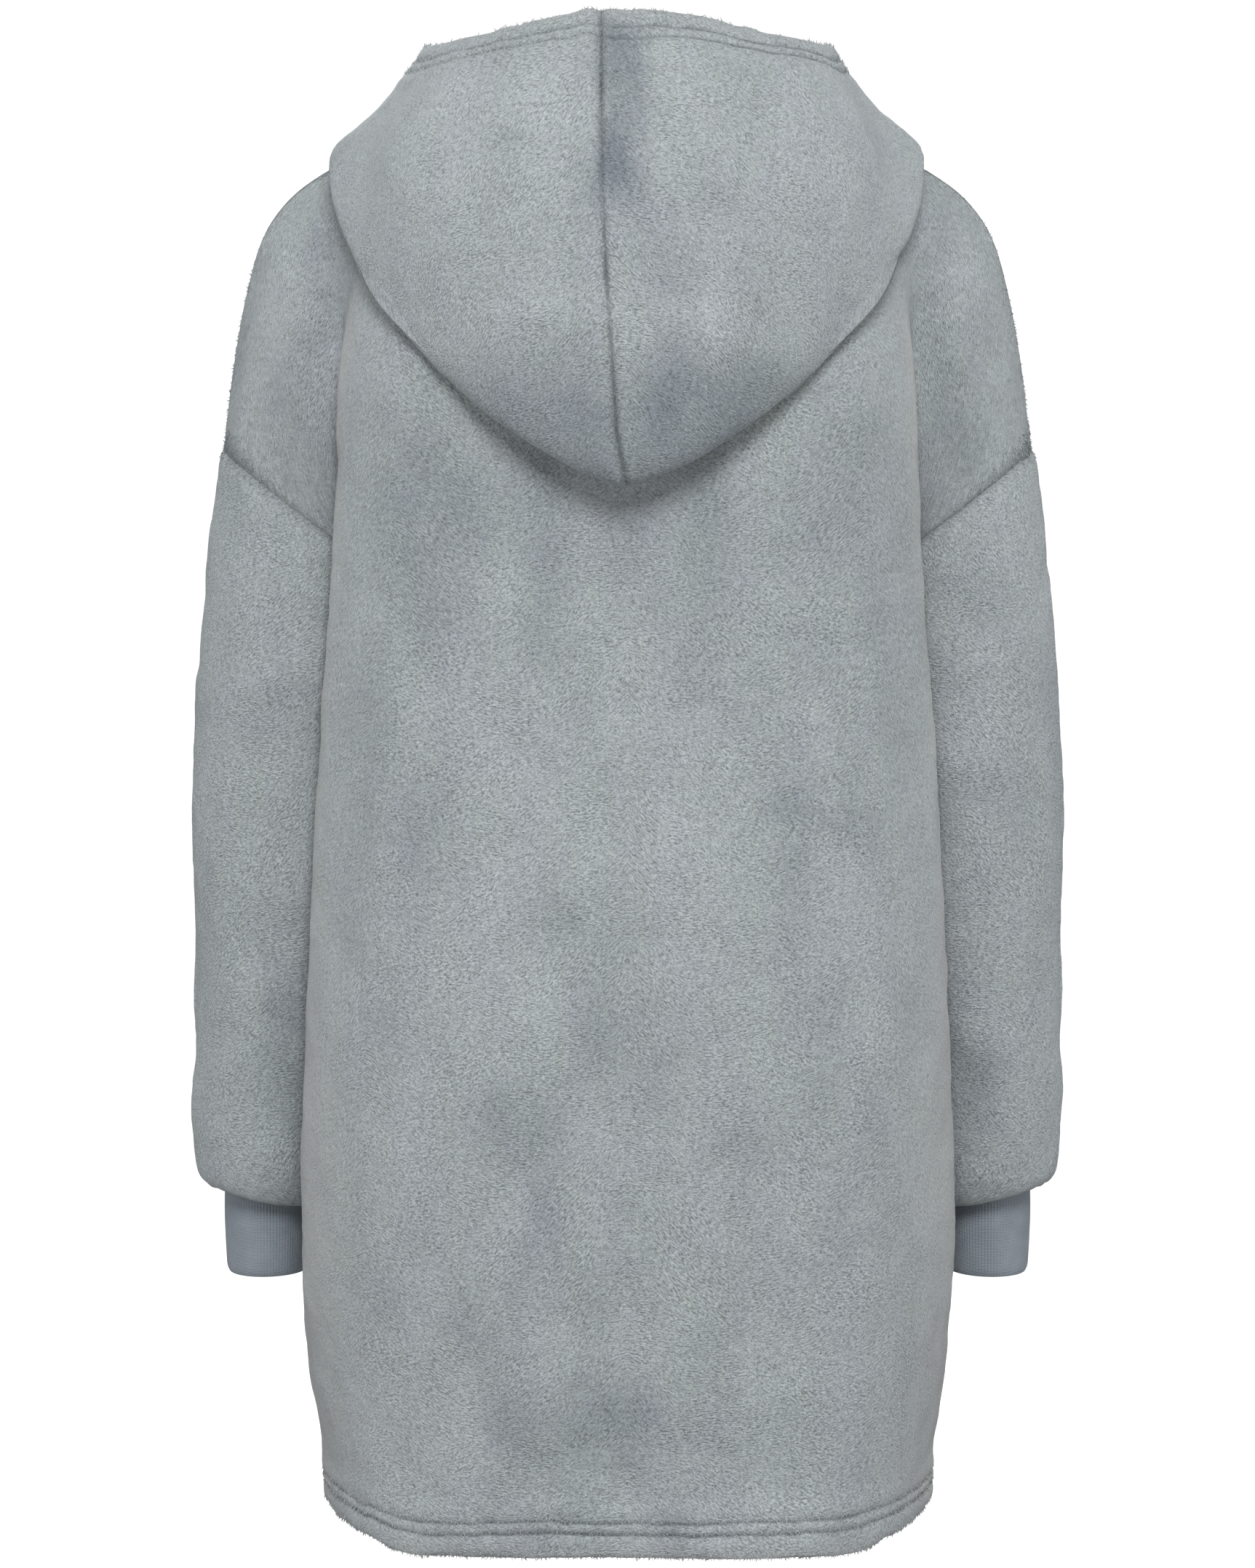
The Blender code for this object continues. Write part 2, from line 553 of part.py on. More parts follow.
def main():
    for obj in list(bpy.data.objects):
        bpy.data.objects.remove(obj, do_unlink=True)
    fleece = material("fleece", (0.330, 0.360, 0.375), 0.95)
    knit = material("rib_knit", (0.200, 0.225, 0.255), 0.90)

    back, front = whole(half_panel(True))[:, ::-1], whole(half_panel(False))
    sleeve, hood = sleeve_grid(), hood_grid()
    first = {"back": (back, False), "front": (front, False), "sleeve": (sleeve, True)}
    normals = shared_normals(first)

    bases = {}
    for name, grid in (("back", back), ("front", front)):
        bases[name] = grid + normals[name] * fold_rise(grid, normals[name])[..., None]
    stitch_rows = (-5, -3) if len(HEM_LINES) == 2 else ()
    for name, grid in bases.items():
        moves = pull_back(grid, "top", SEAM_GAP)
        moves += pull_back(grid, "first", SEAM_GAP) + pull_back(grid, "last", SEAM_GAP)
        sunk = sunk_lines(STITCH_DEPTH, len(grid), stitch_rows)
        relief = -np.repeat(sunk[:, None], grid.shape[1], axis=1)
        add_wall(f"{name}_panel", grid, normals[name], moves, False, relief, fleece)

    beside = tree_of(bases.values(), sum(YOKE_STEPS) - 3)
    for side, mirrored in (("left", False), ("right", True)):
        grid = sleeve + normals["sleeve"] * sleeve_rise(sleeve, mirrored)[..., None]
        grid = laid_on(grid, beside, SLEEVE_GAP)
        underarm = np.clip((ARMHOLE_X - grid[0, :, 0]) / ARMHOLE_HALF_X, 0, 1) ** 3
        gap = ARMHOLE_GAP + (ARMPIT_GAP - ARMHOLE_GAP) * underarm
        moves = pull_back(grid, "top", gap[:, None])
        relief = np.zeros(grid.shape[:2])
        add_wall(f"sleeve_{side}", grid, normals["sleeve"], moves, True, relief, fleece, mirrored)

    cuff = cuff_grid()
    plain = cuff_grid_inside(cuff)
    for side, mirrored in (("left", False), ("right", True)):
        outer, inner = (cuff, plain)
        if mirrored:
            outer, inner = outer[:, ::-1] * (-1, 1, 1), inner[:, ::-1] * (-1, 1, 1)
        mesh = wall_mesh(f"cuff_{side}", outer, inner, True)
        mesh.materials.append(knit)
        made = bpy.data.objects.new(f"cuff_{side}", mesh)
        bpy.context.scene.collection.objects.link(made)

    laid = laid_on(hood, tree_of(bases.values(), 0), LAY_GAP)
    halves = {"left": shift_seam(laid), "right": shift_seam(laid[:, ::-1] * (-1, 1, 1))}
    hood_normals = shared_normals({side: (grid, False) for side, grid in halves.items()})
    for side, grid in halves.items():
        centre_back = "first" if side == "left" else "last"
        centre_front = "last" if side == "left" else "first"
        moves = pull_back(grid, "top", NECK_GAP)
        moves += pull_back(grid, centre_back, SEAM_GAP) + pull_back(grid, centre_front, 0.0012)
        sunk = sunk_lines(STITCH_DEPTH, len(grid), (-3, -5))
        relief = -np.repeat(sunk[:, None], grid.shape[1], axis=1)
        add_wall(f"hood_{side}", grid, hood_normals[side], moves, False, relief, fleece)


def cuff_grid_inside(cuff):
    """The cuff's plain inside, a smooth tube under the ribs."""
    inside = cuff.copy()
    centre = np.array([CUFF_X, CUFF_Y])
    turns = np.linspace(0, 360, cuff.shape[1], endpoint=False)
    half = np.array([CUFF_HALF_X, CUFF_HALF_Y]) - CLOTH
    inside[..., 0] = centre[0] + half[0] * np.cos(np.radians(turns))
    inside[..., 1] = centre[1] + half[1] * np.sin(np.radians(turns))
    return inside


main()
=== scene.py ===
"""Hooded blanket pullover, worn with no wearer inside: the look of each cloth piece.

Metres, +Z up. The garment's front faces -Y and the wearer's left is +X.
Each piece of cloth is a fine shell on the form of its solid: a grid of points on the
cloth's right side, lifted and pressed by folds, seams, stitching and lumps of pile,
and the same grid moved in by the cloth's thickness.
"""

from math import pi, radians

import bpy
import numpy as np
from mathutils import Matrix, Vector
from mathutils.bvhtree import BVHTree


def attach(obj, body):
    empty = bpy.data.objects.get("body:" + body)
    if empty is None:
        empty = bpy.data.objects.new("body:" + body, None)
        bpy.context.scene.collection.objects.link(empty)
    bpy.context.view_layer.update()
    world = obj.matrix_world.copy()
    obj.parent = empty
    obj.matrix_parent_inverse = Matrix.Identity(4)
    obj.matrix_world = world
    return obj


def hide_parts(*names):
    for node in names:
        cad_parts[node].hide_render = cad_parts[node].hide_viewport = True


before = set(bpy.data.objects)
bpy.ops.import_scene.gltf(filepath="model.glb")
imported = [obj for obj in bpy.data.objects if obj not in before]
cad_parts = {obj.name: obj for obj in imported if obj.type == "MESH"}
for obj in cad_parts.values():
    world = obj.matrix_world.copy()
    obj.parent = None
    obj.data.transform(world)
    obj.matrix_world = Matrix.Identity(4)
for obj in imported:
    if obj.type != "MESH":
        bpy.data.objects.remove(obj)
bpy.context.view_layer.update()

MIRROR = (-1, 1, 1)

# The cloth's thickness, and the least that is left under a place that is pressed in.
CLOTH, THINNEST = 0.003, 0.0014

# How far the pieces reach over a seam, and how clear the hood and the sleeves lie of the body.
SEAM_LAP, NECK_LAP = 0.0004, 0.0040
LAY_GAP, SLEEVE_GAP = 0.0080, 0.0035
LAY_REACH, LAY_ASIDE = 0.03, 0.002

# Rows of the body above the armpit that the sleeves are kept clear of.
ARMPIT_ROWS = 16

# Seams: how deep and wide the cloth dips, and how much and how wide its pile is pressed.
SEAM_DEPTH, SEAM_WIDTH = 0.0012, 0.0028
SEAM_PRESSED, SEAM_PRESSED_WIDTH = 0.45, 0.0016
HOOD_SEAM_DEPTH, HOOD_TIP_RISE = 0.0032, 0.0030

# How far from a seam and from a turned edge the longer locks of pile reach.
SEAM_LOCKS, EDGE_LOCKS = 0.0022, 0.0018

# Turned edges: how far the wrong side rounds out, how far in the cloth lies smooth, and how it wears.
EDGE_ROUND, EDGE_ROUND_WIDTH = 0.0010, 0.0009
EDGE_SMOOTH, EDGE_WEAR = 0.004, 0.003

# The neckline has no shoulder seam: it counts as lying so much further from one.
NECK_NO_SEAM = 0.02

# The two lines of stitching at each turned edge, by their distance from it.
HEM_LINES = (0.0140, 0.0208)
RIM_LINES = (0.0125, 0.0198)
STITCH_SPACING, STITCH_LENGTH, STITCH_THICK = 0.0042, 0.0032, 0.0006
STITCH_DEPTH, STITCH_WIDTH = 0.0012, 0.0011
LOCK_LENGTH, LOCK_THICK, LOCKS_PER_AREA = 0.0021, 0.0007, 1.3e6

# Soft noise that is laid on the cloth: its lumps of pile, and how stitching and nap stray.
LUMPS = (
    # rise, size of a lump, seed
    (0.0011, 0.045, 1),
    (0.0007, 0.020, 2),
    (0.00035, 0.0085, 3),
    (0.00022, 0.0048, 4),
)
STITCH_WANDER = (
    # reach, size, seed
    (0.0016, 0.026, 11),
    (0.0009, 0.009, 12),
)
NAP_STRAY = (
    # reach, size, first of three seeds
    (0.012, 0.035, 21),
    (0.004, 0.014, 24),
)

# How strongly the nap turns: in tall streaks, in flecks between them, and in the patches below, which also
# hold painted shadow and painted light.
NAP_STREAKS, NAP_FLECKS, NAP_PATCH = 0.24, 0.12, 0.65

# On the hood the cloth is painted darker below this height, as painted shade, and a little paler above it,
# as painted light.
HOOD_PAINTED_SHADE_Z, HOOD_PAINTED_SHADE_SLOPE, HOOD_PAINTED_SHADE_RANGE = -0.150, 0.28, (-2.7, 0.15)

# The neckline: half width at the high shoulder point, then how far it dips at the back and the front.
NECK_HALF = 0.086
NECK_SIDE_Y = 0.004
NECK_BACK_Y, NECK_BACK_Z = 0.072, -0.032
NECK_FRONT_Y, NECK_FRONT_Z = -0.104, -0.094

# The dropped shoulder seam, from the neck over the shoulder and down the outside of the arm.
SHOULDER_SEAM = (
    # x, y, z
    (0.086, 0.004, 0.000),
    (0.118, 0.000, -0.009),
    (0.148, -0.003, -0.021),
    (0.1845, -0.006, -0.0385),
    (0.2072, -0.008, -0.0552),
    (0.2230, -0.009, -0.0770),
    (0.2340, -0.010, -0.1120),
    (0.2422, -0.011, -0.1560),
    (0.2478, -0.012, -0.2090),
)
SHOULDER_STOPS = (0.0, 1.75, 3.3, 5.3, 8.0)

# The armhole is an ellipse on a slope: its highest point is outside the arm, its lowest the armpit.
ARMHOLE_X, ARMHOLE_Y = 0.1960, -0.012
ARMHOLE_HALF_X, ARMHOLE_HALF_Y = 0.0518, 0.0520
ARMHOLE_TOP_Z, ARMHOLE_SLOPE = -0.209, 0.755
ARMHOLE_STOPS = (0, 38, 78, 120, 180)

# The upper back and front, one row for each line of cloth from the shoulder to the armpit.
BACK_YOKE = (
    # centre (z, y), fold (x, y, z), hollow (x, y, z), arm (x, y, z)
    ((-0.098, 0.106), (0.152, 0.050, -0.076), (0.184, 0.026, -0.088), (0.214, 0.018, -0.118)),
    ((-0.165, 0.115), (0.1700, 0.057, -0.146), (0.1730, 0.028, -0.156), (0.198, 0.036, -0.182)),
    ((-0.230, 0.118), (0.1738, 0.055, -0.220), (0.1620, 0.036, -0.228), (0.1650, 0.0345, -0.247)),
    ((-0.290, 0.119), (0.1775, 0.051, -0.288), (0.1600, 0.028, -0.290), (0.1475, 0.010, -0.2925)),
)
FRONT_YOKE = (
    ((-0.140, -0.117), (0.148, -0.054, -0.078), (0.180, -0.044, -0.092), (0.212, -0.042, -0.122)),
    ((-0.190, -0.123), (0.152, -0.084, -0.146), (0.167, -0.066, -0.158), (0.196, -0.062, -0.186)),
    ((-0.242, -0.126), (0.150, -0.088, -0.220), (0.157, -0.063, -0.230), (0.166, -0.057, -0.249)),
    ((-0.290, -0.128), (0.146, -0.088, -0.288), (0.1485, -0.060, -0.290), (0.1435, -0.034, -0.2935)),
)

# The body below the armpits, level by level. The back's fold is its widest point.
BODY_LEVELS = (
    # z, back y, fold x, fold y, side x, side y, front corner x, front corner y, front y
    (-0.355, 0.122, 0.1835, 0.047, 0.1425, -0.018, 0.144, -0.092, -0.131),
    (-0.440, 0.127, 0.1885, 0.043, 0.1465, -0.022, 0.145, -0.095, -0.134),
    (-0.530, 0.132, 0.1932, 0.040, 0.1530, -0.026, 0.148, -0.097, -0.137),
    (-0.615, 0.137, 0.1974, 0.037, 0.1580, -0.030, 0.153, -0.099, -0.139),
    (-0.685, 0.141, 0.1985, 0.031, 0.1690, -0.028, 0.160, -0.099, -0.140),
    (-0.755, 0.144, 0.1962, 0.023, 0.1790, -0.022, 0.164, -0.094, -0.140),
    (-0.812, 0.1455, 0.1900, 0.014, 0.1825, -0.017, 0.163, -0.090, -0.138),
    (-0.857, 0.146, 0.1858, 0.006, 0.1825, -0.014, 0.161, -0.087, -0.136),
)

# The sleeve below the armhole. The last rows roll under and up to the cuff's seam.
SLEEVE_RINGS = (
    # outer z, inner z, centre x, centre y, half width, half depth
    (-0.262, -0.318, 0.2045, -0.014, 0.0515, 0.0535),
    (-0.325, -0.358, 0.2078, -0.018, 0.0548, 0.0555),
    (-0.392, -0.410, 0.2124, -0.023, 0.0544, 0.0560),
    (-0.470, -0.475, 0.2158, -0.029, 0.0533, 0.0560),
    (-0.550, -0.550, 0.2172, -0.035, 0.0512, 0.0550),
    (-0.610, -0.612, 0.2195, -0.040, 0.0515, 0.0545),
    (-0.643, -0.650, 0.2212, -0.043, 0.0497, 0.0535),
    (-0.6595, -0.6700, 0.2235, -0.044, 0.0445, 0.0495),
    (-0.6640, -0.6785, 0.2252, -0.045, 0.0375, 0.0435),
    (-0.6610, -0.6720, 0.2260, -0.045, 0.0305, 0.0355),
    (-0.6550, -0.6620, 0.2263, -0.045, 0.0260, 0.0303),
)

CUFF_X, CUFF_Y = 0.2263, -0.045
CUFF_HALF_X, CUFF_HALF_Y = 0.0250, 0.0293
CUFF_TOP_Z, CUFF_BOTTOM_Z = -0.6550, -0.7215
CUFF_RIBS, RIB_RISE = 84, 0.0005

# How far down the cuff its edge begins to fold in, how far in it folds, and the sleeve's gathers.
CUFF_FOLD, CUFF_FOLD_DEPTH = 0.93, 0.0013
CUFF_GATHERS, GATHER_RISE = 17, 0.0012

# The hood lying down, one row for each direction round the neck from centre back to centre front.
HOOD_SECTIONS = (
    # fold (x, y, z), rim (x, y, z), swell, how far the cloth is laid over
    ((0.000, 0.153, -0.2275), (0.000, 0.126, 0.0450), 0.030, 1.00),
    ((0.068, 0.140, -0.1970), (0.034, 0.1235, 0.0425), 0.029, 1.00),
    ((0.110, 0.115, -0.1610), (0.064, 0.1135, 0.0370), 0.026, 1.00),
    ((0.143, 0.084, -0.1180), (0.091, 0.0975, 0.0320), 0.020, 1.00),
    ((0.1655, 0.048, -0.0760), (0.1140, 0.071, 0.0300), 0.002, 1.00),
    ((0.1695, 0.014, -0.0385), (0.1200, 0.036, 0.0300), -0.003, 1.00),
    ((0.160, -0.026, -0.0400), (0.118, -0.004, 0.0210), 0.000, 0.96),
    ((0.136, -0.062, -0.0640), (0.104, -0.042, 0.0080), 0.000, 0.80),
    ((0.100, -0.092, -0.0800), (0.079, -0.074, -0.0130), 0.000, 0.45),
    ((0.055, -0.112, -0.0900), (0.046, -0.097, -0.0400), 0.000, 0.14),
    ((0.000, -0.118, -0.0980), (0.000, -0.110, -0.0600), 0.000, 0.00),
)
HOOD_ROLL = 0.0085

# Where the hood's cloth goes from the neckline: so far out and up, before it turns down.
HOOD_LIP, HOOD_OVER = (0.012, 0.020), (0.026, 0.010)

# How far the hood's centre seam stands to the wearer's left of the middle, from its tip to the rim.
SEAM_LEAN = (
    # height, distance
    (-0.2275, 0.0015),
    (-0.2000, 0.0065),
    (-0.1650, 0.0085),
    (-0.1150, 0.0120),
    (-0.0530, 0.0150),
    (0.0450, 0.0152),
)

# The rows above the fold in which the lean comes in, and the columns over which it fades.
LEAN_ROWS, LEAN_COLUMNS = 8, 30

# Soft folds of the cloth, each a ridge (or trough, below zero) from one point towards another.
FOLDS = (
    # start (x, z), end (x, z), half width, rise
    ((0.095, -0.300), (0.060, -0.800), 0.030, 0.0035),
    ((-0.020, -0.360), (-0.045, -0.830), 0.034, 0.0030),
    ((-0.120, -0.330), (-0.140, -0.780), 0.028, 0.0035),
    ((0.150, -0.400), (0.155, -0.820), 0.020, -0.0030),
    ((-0.085, -0.480), (-0.090, -0.840), 0.022, -0.0030),
    ((0.165, -0.130), (0.110, -0.215), 0.014, 0.0025),
    ((-0.165, -0.135), (-0.115, -0.230), 0.014, 0.0025),
)
SLEEVE_FOLDS = (
    # direction round the arm in degrees, z, spread in degrees, half height, rise
    (100, -0.345, 70, 0.018, 0.0026),
    (60, -0.420, 60, 0.016, 0.0012),
    (130, -0.500, 75, 0.020, -0.0022),
    (250, -0.400, 80, 0.017, 0.0028),
    (290, -0.470, 70, 0.016, -0.0022),
    (70, -0.585, 60, 0.017, 0.0024),
    (215, -0.600, 70, 0.016, 0.0030),
    (330, -0.560, 60, 0.018, 0.0020),
)

# The middle of the left sleeve, and how far the folds are turned and raised on the right one.
SLEEVE_X, SLEEVE_Y = 0.214, -0.028
RIGHT_FOLDS_TURN, RIGHT_FOLDS_RISE = 24, 0.018

# Short creases that pull from the hood's edge and the armholes, on the back panel.
CREASES = (
    # start (x, z), end (x, z), half width, rise
    ((0.168, -0.078), (0.128, -0.092), 0.0050, -0.0012),
    ((0.170, -0.092), (0.126, -0.112), 0.0045, 0.0010),
    ((0.171, -0.108), (0.118, -0.136), 0.0050, -0.0012),
    ((0.172, -0.128), (0.112, -0.160), 0.0060, 0.0010),
    ((-0.168, -0.080), (-0.128, -0.096), 0.0050, -0.0012),
    ((-0.170, -0.096), (-0.124, -0.120), 0.0048, 0.0010),
    ((-0.171, -0.115), (-0.116, -0.146), 0.0052, -0.0012),
    ((-0.172, -0.138), (-0.110, -0.172), 0.0060, 0.0010),
    ((0.172, -0.106), (0.200, -0.086), 0.0045, -0.0014),
    ((0.170, -0.116), (0.202, -0.098), 0.0045, 0.0013),
    ((0.168, -0.128), (0.200, -0.112), 0.0050, -0.0014),
    ((-0.172, -0.108), (-0.200, -0.086), 0.0045, -0.0014),
    ((-0.170, -0.118), (-0.202, -0.100), 0.0045, 0.0013),
    ((-0.168, -0.131), (-0.200, -0.114), 0.0050, -0.0014),
    ((0.150, -0.310), (0.176, -0.350), 0.0080, -0.0012),
    ((-0.148, -0.320), (-0.178, -0.365), 0.0080, -0.0012),
    ((0.060, -0.700), (0.090, -0.846), 0.0120, -0.0012),
    ((-0.060, -0.720), (-0.050, -0.846), 0.0120, -0.0012),
)

# Patches where the brushed nap lies another way, on the back, the sleeves and the hood's outside; among
# them are painted shadow and painted light, marked below.
NAP_AND_PAINTED_LIGHT_PATCHES = (
    # x, z, half width, half height, turn of the nap (dark below zero, pale above)
    (0.122, -0.226, 0.022, 0.050, -0.45),
    (-0.122, -0.226, 0.022, 0.050, -0.45),
    (0.066, -0.278, 0.024, 0.024, 0.12),
    (-0.064, -0.278, 0.024, 0.024, 0.08),
    # Painted shadow: the dark patch under the hood's tip.
    (0.000, -0.252, 0.110, 0.040, -0.60),
    (0.115, -0.317, 0.027, 0.018, -0.50),
    (-0.113, -0.317, 0.027, 0.018, -0.45),
    (0.056, -0.321, 0.022, 0.022, -0.30),
    (-0.037, -0.329, 0.018, 0.026, -0.30),
    (0.001, -0.359, 0.015, 0.030, 0.45),
    (0.124, -0.371, 0.022, 0.026, -0.40),
    (-0.122, -0.375, 0.026, 0.022, -0.40),
    (0.094, -0.375, 0.015, 0.022, 0.25),
    (0.128, -0.434, 0.034, 0.022, -0.35),
    (-0.113, -0.426, 0.038, 0.014, -0.50),
    (0.069, -0.477, 0.022, 0.034, 0.30),
    (-0.029, -0.434, 0.026, 0.026, 0.30),
    (0.026, -0.490, 0.018, 0.010, -0.35),
    (0.073, -0.528, 0.026, 0.014, 0.30),
    (-0.029, -0.511, 0.026, 0.018, 0.30),
    (0.001, -0.549, 0.030, 0.027, -0.45),
    (0.073, -0.605, 0.022, 0.020, -0.50),
    (-0.067, -0.613, 0.020, 0.020, -0.50),
    (0.048, -0.669, 0.026, 0.026, -0.25),
    (0.010, -0.708, 0.034, 0.018, -0.40),
    (0.069, -0.725, 0.018, 0.018, -0.25),
    (-0.006, -0.777, 0.036, 0.022, -0.80),
    (0.069, -0.786, 0.026, 0.018, -0.35),
    (-0.063, -0.790, 0.022, 0.018, -0.35),
    # Painted light: the cloth made paler near the hem, as a lamp from below would.
    (0.125, -0.820, 0.070, 0.060, 0.35),
    (-0.125, -0.820, 0.070, 0.060, 0.35),
    (0.052, -0.843, 0.022, 0.011, -0.30),
    (-0.042, -0.841, 0.022, 0.011, -0.30),
    (0.001, -0.830, 0.018, 0.011, 0.35),
    # Painted shade: the hollows between the back's folds and the arms.
    (0.184, -0.120, 0.014, 0.055, -0.30),
    (-0.184, -0.120, 0.014, 0.055, -0.30),
    (0.190, -0.200, 0.020, 0.040, -0.45),
    (-0.190, -0.200, 0.020, 0.040, -0.45),
    # Painted shade: the sleeves beside the body's folds.
    (0.204, -0.590, 0.016, 0.060, -0.70),
    (-0.204, -0.590, 0.016, 0.060, -0.70),
    (0.190, -0.075, 0.016, 0.026, -0.40),
    (-0.190, -0.075, 0.016, 0.026, -0.40),
    (0.205, -0.100, 0.008, 0.012, 0.45),
    (-0.205, -0.100, 0.008, 0.012, 0.45),
)
# Patches on the hood's outside: some where the nap lies another way, some painted light and shade, marked
# below.
HOOD_NAP_AND_PAINTED_LIGHT_PATCHES = (
    # x, z, half width, half height, turn of the nap
    # Painted shade: the dark hollow beside the centre seam under the rim.
    (0.006, 0.018, 0.014, 0.020, -1.30),
    (0.005, -0.045, 0.012, 0.026, -1.90),
    (0.068, -0.034, 0.012, 0.007, -0.60),
    (0.108, -0.036, 0.025, 0.008, -0.25),
    (0.044, -0.012, 0.022, 0.024, 0.30),
    (-0.030, 0.008, 0.018, 0.020, 0.25),
    (0.052, -0.131, 0.038, 0.010, 0.40),
    (-0.042, -0.135, 0.038, 0.010, 0.40),
    # Painted shade: the dark band low on the hood, where it faces down.
    (0.040, -0.178, 0.040, 0.020, -0.60),
    (-0.038, -0.180, 0.040, 0.020, -0.60),
    (-0.016, -0.076, 0.026, 0.013, -0.30),
    # Painted light: the paler sides of the hood.
    (0.105, -0.025, 0.040, 0.050, 0.50),
    (-0.105, -0.020, 0.040, 0.050, 0.25),
    (0.155, -0.068, 0.012, 0.030, 0.25),
    (-0.155, -0.068, 0.012, 0.030, 0.25),
)

# Points of the fine grids: how many steps between each pair of the tables' stops.
ACROSS_STEPS = (28, 18, 18, 12, 9, 8)
YOKE_STEPS = (16, 14, 15, 15)
LEVEL_STEPS = (17, 21, 22, 21, 17, 17, 14, 60)
SLEEVE_STEPS = (13, 15, 17, 19, 19, 15, 10, 7, 5, 4, 3)
HOOD_STEPS = (6, 5, 14, 16, 6, 7, 26, 24, 20)
HOOD_TURN_STEPS = (16, 13, 12, 12, 11, 11, 10, 10, 9, 9)

# Rows near the hem and the hood's rim, by their distance from the edge in millimetres.
EDGE_ROWS = (
    0, 0.35, 0.8, 1.4, 2.1, 3.0, 4.2, 5.6, 7.2, 8.8, 10.2, 11.4, 12.3, 13.0, 13.6, 14.2, 14.9, 15.7,
    16.7, 17.9, 18.9, 19.6, 20.2, 20.8, 21.4, 22.1, 23.0, 24.2, 25.8, 28.0, 31.0, 34.5, 38.0, 41.5,
)
RIM_ROWS = EDGE_ROWS[:-4]

# Columns near the hood's centre seam, by their distance from it in millimetres.
SEAM_COLUMNS = (0, 0.6, 1.2, 1.9, 2.8, 4.0, 5.6, 7.6)

LILAC_GREY = (0.299, 0.320, 0.341, 1)
GREEN_GREY = (0.303, 0.332, 0.333, 1)
# The nap mark's darker and paler colours: turned and raised nap, and painted shade and painted light.
DARK_NAP_AND_PAINTED_SHADE = (0.168, 0.191, 0.211, 1)
PALE_NAP_AND_PAINTED_LIGHT = (0.380, 0.410, 0.425, 1)
# Paler cloth at worn edges, also used as painted light along the back's folds and on the hood's rolled
# fold.
WORN_EDGE_AND_PAINTED_LIGHT = (0.392, 0.384, 0.374, 1)
PRESSED_PILE = (0.060, 0.070, 0.072, 1)
THREAD_COLOUR = (0.150, 0.165, 0.180, 1)
KNIT_COLOURS = ((0.196, 0.226, 0.258, 1), (0.232, 0.262, 0.292, 1))

# The brushed pile: two ways that its strokes lie, and how many clumps and fibres a metre.
STROKES = (
    # turn in degrees, length, width
    (47, 0.0028, 0.0010),
    (14, 0.0026, 0.0010),
)
CLUMPS, FIBRES = 260, 950

# What the nodes that set locks and stitches are given, and how much the shapes' sizes differ.
GIVEN_SOCKETS = {
    "Points": "Geometry",
    "Length": "Float",
    "Thickness": "Float",
    "Seed": "Int",
    "Finish": "Material",
}
UNEVEN_SIZES = {"lock": (0.6, 1.35), "stitch": (0.92, 1.08)}

# The flat cut of each piece that shows, and how it is held.
CUT = {
    # piece: (width, length), area, held, rests on
    "back_panel": ((0.640, 0.880), 0.500, "hung", []),
    "front_panel": ((0.600, 0.860), 0.410, "hung", []),
    "sleeve_left": ((0.350, 0.480), 0.145, "hung", []),
    "sleeve_right": ((0.350, 0.480), 0.145, "hung", []),
    "cuff_left": ((0.172, 0.068), None, "stretched", []),
    "cuff_right": ((0.172, 0.068), None, "stretched", []),
    "hood_left": ((0.400, 0.480), 0.105, "folded", ["fleece_back_panel"]),
    "hood_right": ((0.400, 0.480), 0.105, "folded", ["fleece_back_panel"]),
}

CAMERA_Y, CAMERA_Z, CAMERA_TILT = 2.6, -0.218, 4.2818
CAMERA_LENS = 97.68
FLOOR_Z, FLOOR_HALF, FLOOR_LIGHT = -3.2, 14, 3.4
WORLD_LIGHT, WORLD_SEEN = 0.25, 1.05
LAMPS = (
    # name, place, height that it points at, size, power
    ("key", (-0.15, 2.85, 1.36), -0.50, 1.3, 89),
    ("fill", (0.3, 3.0, -1.1), -0.80, 1.8, 14),
    ("side", (-2.3, 0.9, 0.0), -0.55, 1.2, 19),
    ("side", (2.3, 0.9, 0.0), -0.55, 1.2, 19),
    ("front", (0.3, -3.0, 1.3), -0.45, 1.6, 100),
)


def smooth_curve(stops, steps, before=None, after=None):
    """Points on smooth curves through the stops, with so many steps between each pair."""
    stops = np.asarray(stops, float)
    before = 2 * stops[0] - stops[1] if before is None else before
    after = 2 * stops[-1] - stops[-2] if after is None else after
    line = np.concatenate([[before], stops, [after]])
    gaps = np.maximum(np.linalg.norm(np.diff(line, axis=0), axis=-1, keepdims=True), 1e-6) ** 0.5
    found = [stops[0]]
    for i, count in enumerate(steps):
        p0, p1, p2, p3 = line[i : i + 4]
        g0, g1, g2 = gaps[i : i + 3]
        leave = (p1 - p0) / g0 - (p2 - p0) / (g0 + g1) + (p2 - p1) / g1
        arrive = (p2 - p1) / g1 - (p3 - p1) / (g1 + g2) + (p3 - p2) / g2
        for t in np.arange(1, count + 1) / count:
            found.append(
                (2 * t**3 - 3 * t**2 + 1) * p1
                + (t**3 - 2 * t**2 + t) * g1 * leave
                + (3 * t**2 - 2 * t**3) * p2
                + (t**3 - t**2) * g1 * arrive
            )
    return np.array(found)


def stepped(stops, steps):
    """The stops of a scale, with so many even steps between each pair."""
    found = [stops[0]]
    for start, end, count in zip(stops, stops[1:], steps):
        found += list(start + (end - start) * np.arange(1, count + 1) / count)
    return np.array(found)


def lengths_of(grid):
    """How far down the cloth each point is from the first one of its column."""
    step = np.linalg.norm(np.diff(grid, axis=0), axis=-1)
    return np.concatenate([np.zeros((1,) + step.shape[1:]), np.cumsum(step, axis=0)])


def lengths_back(grid):
    """How far up the cloth each point is from the last one of its column."""
    return lengths_of(grid[::-1])[::-1]


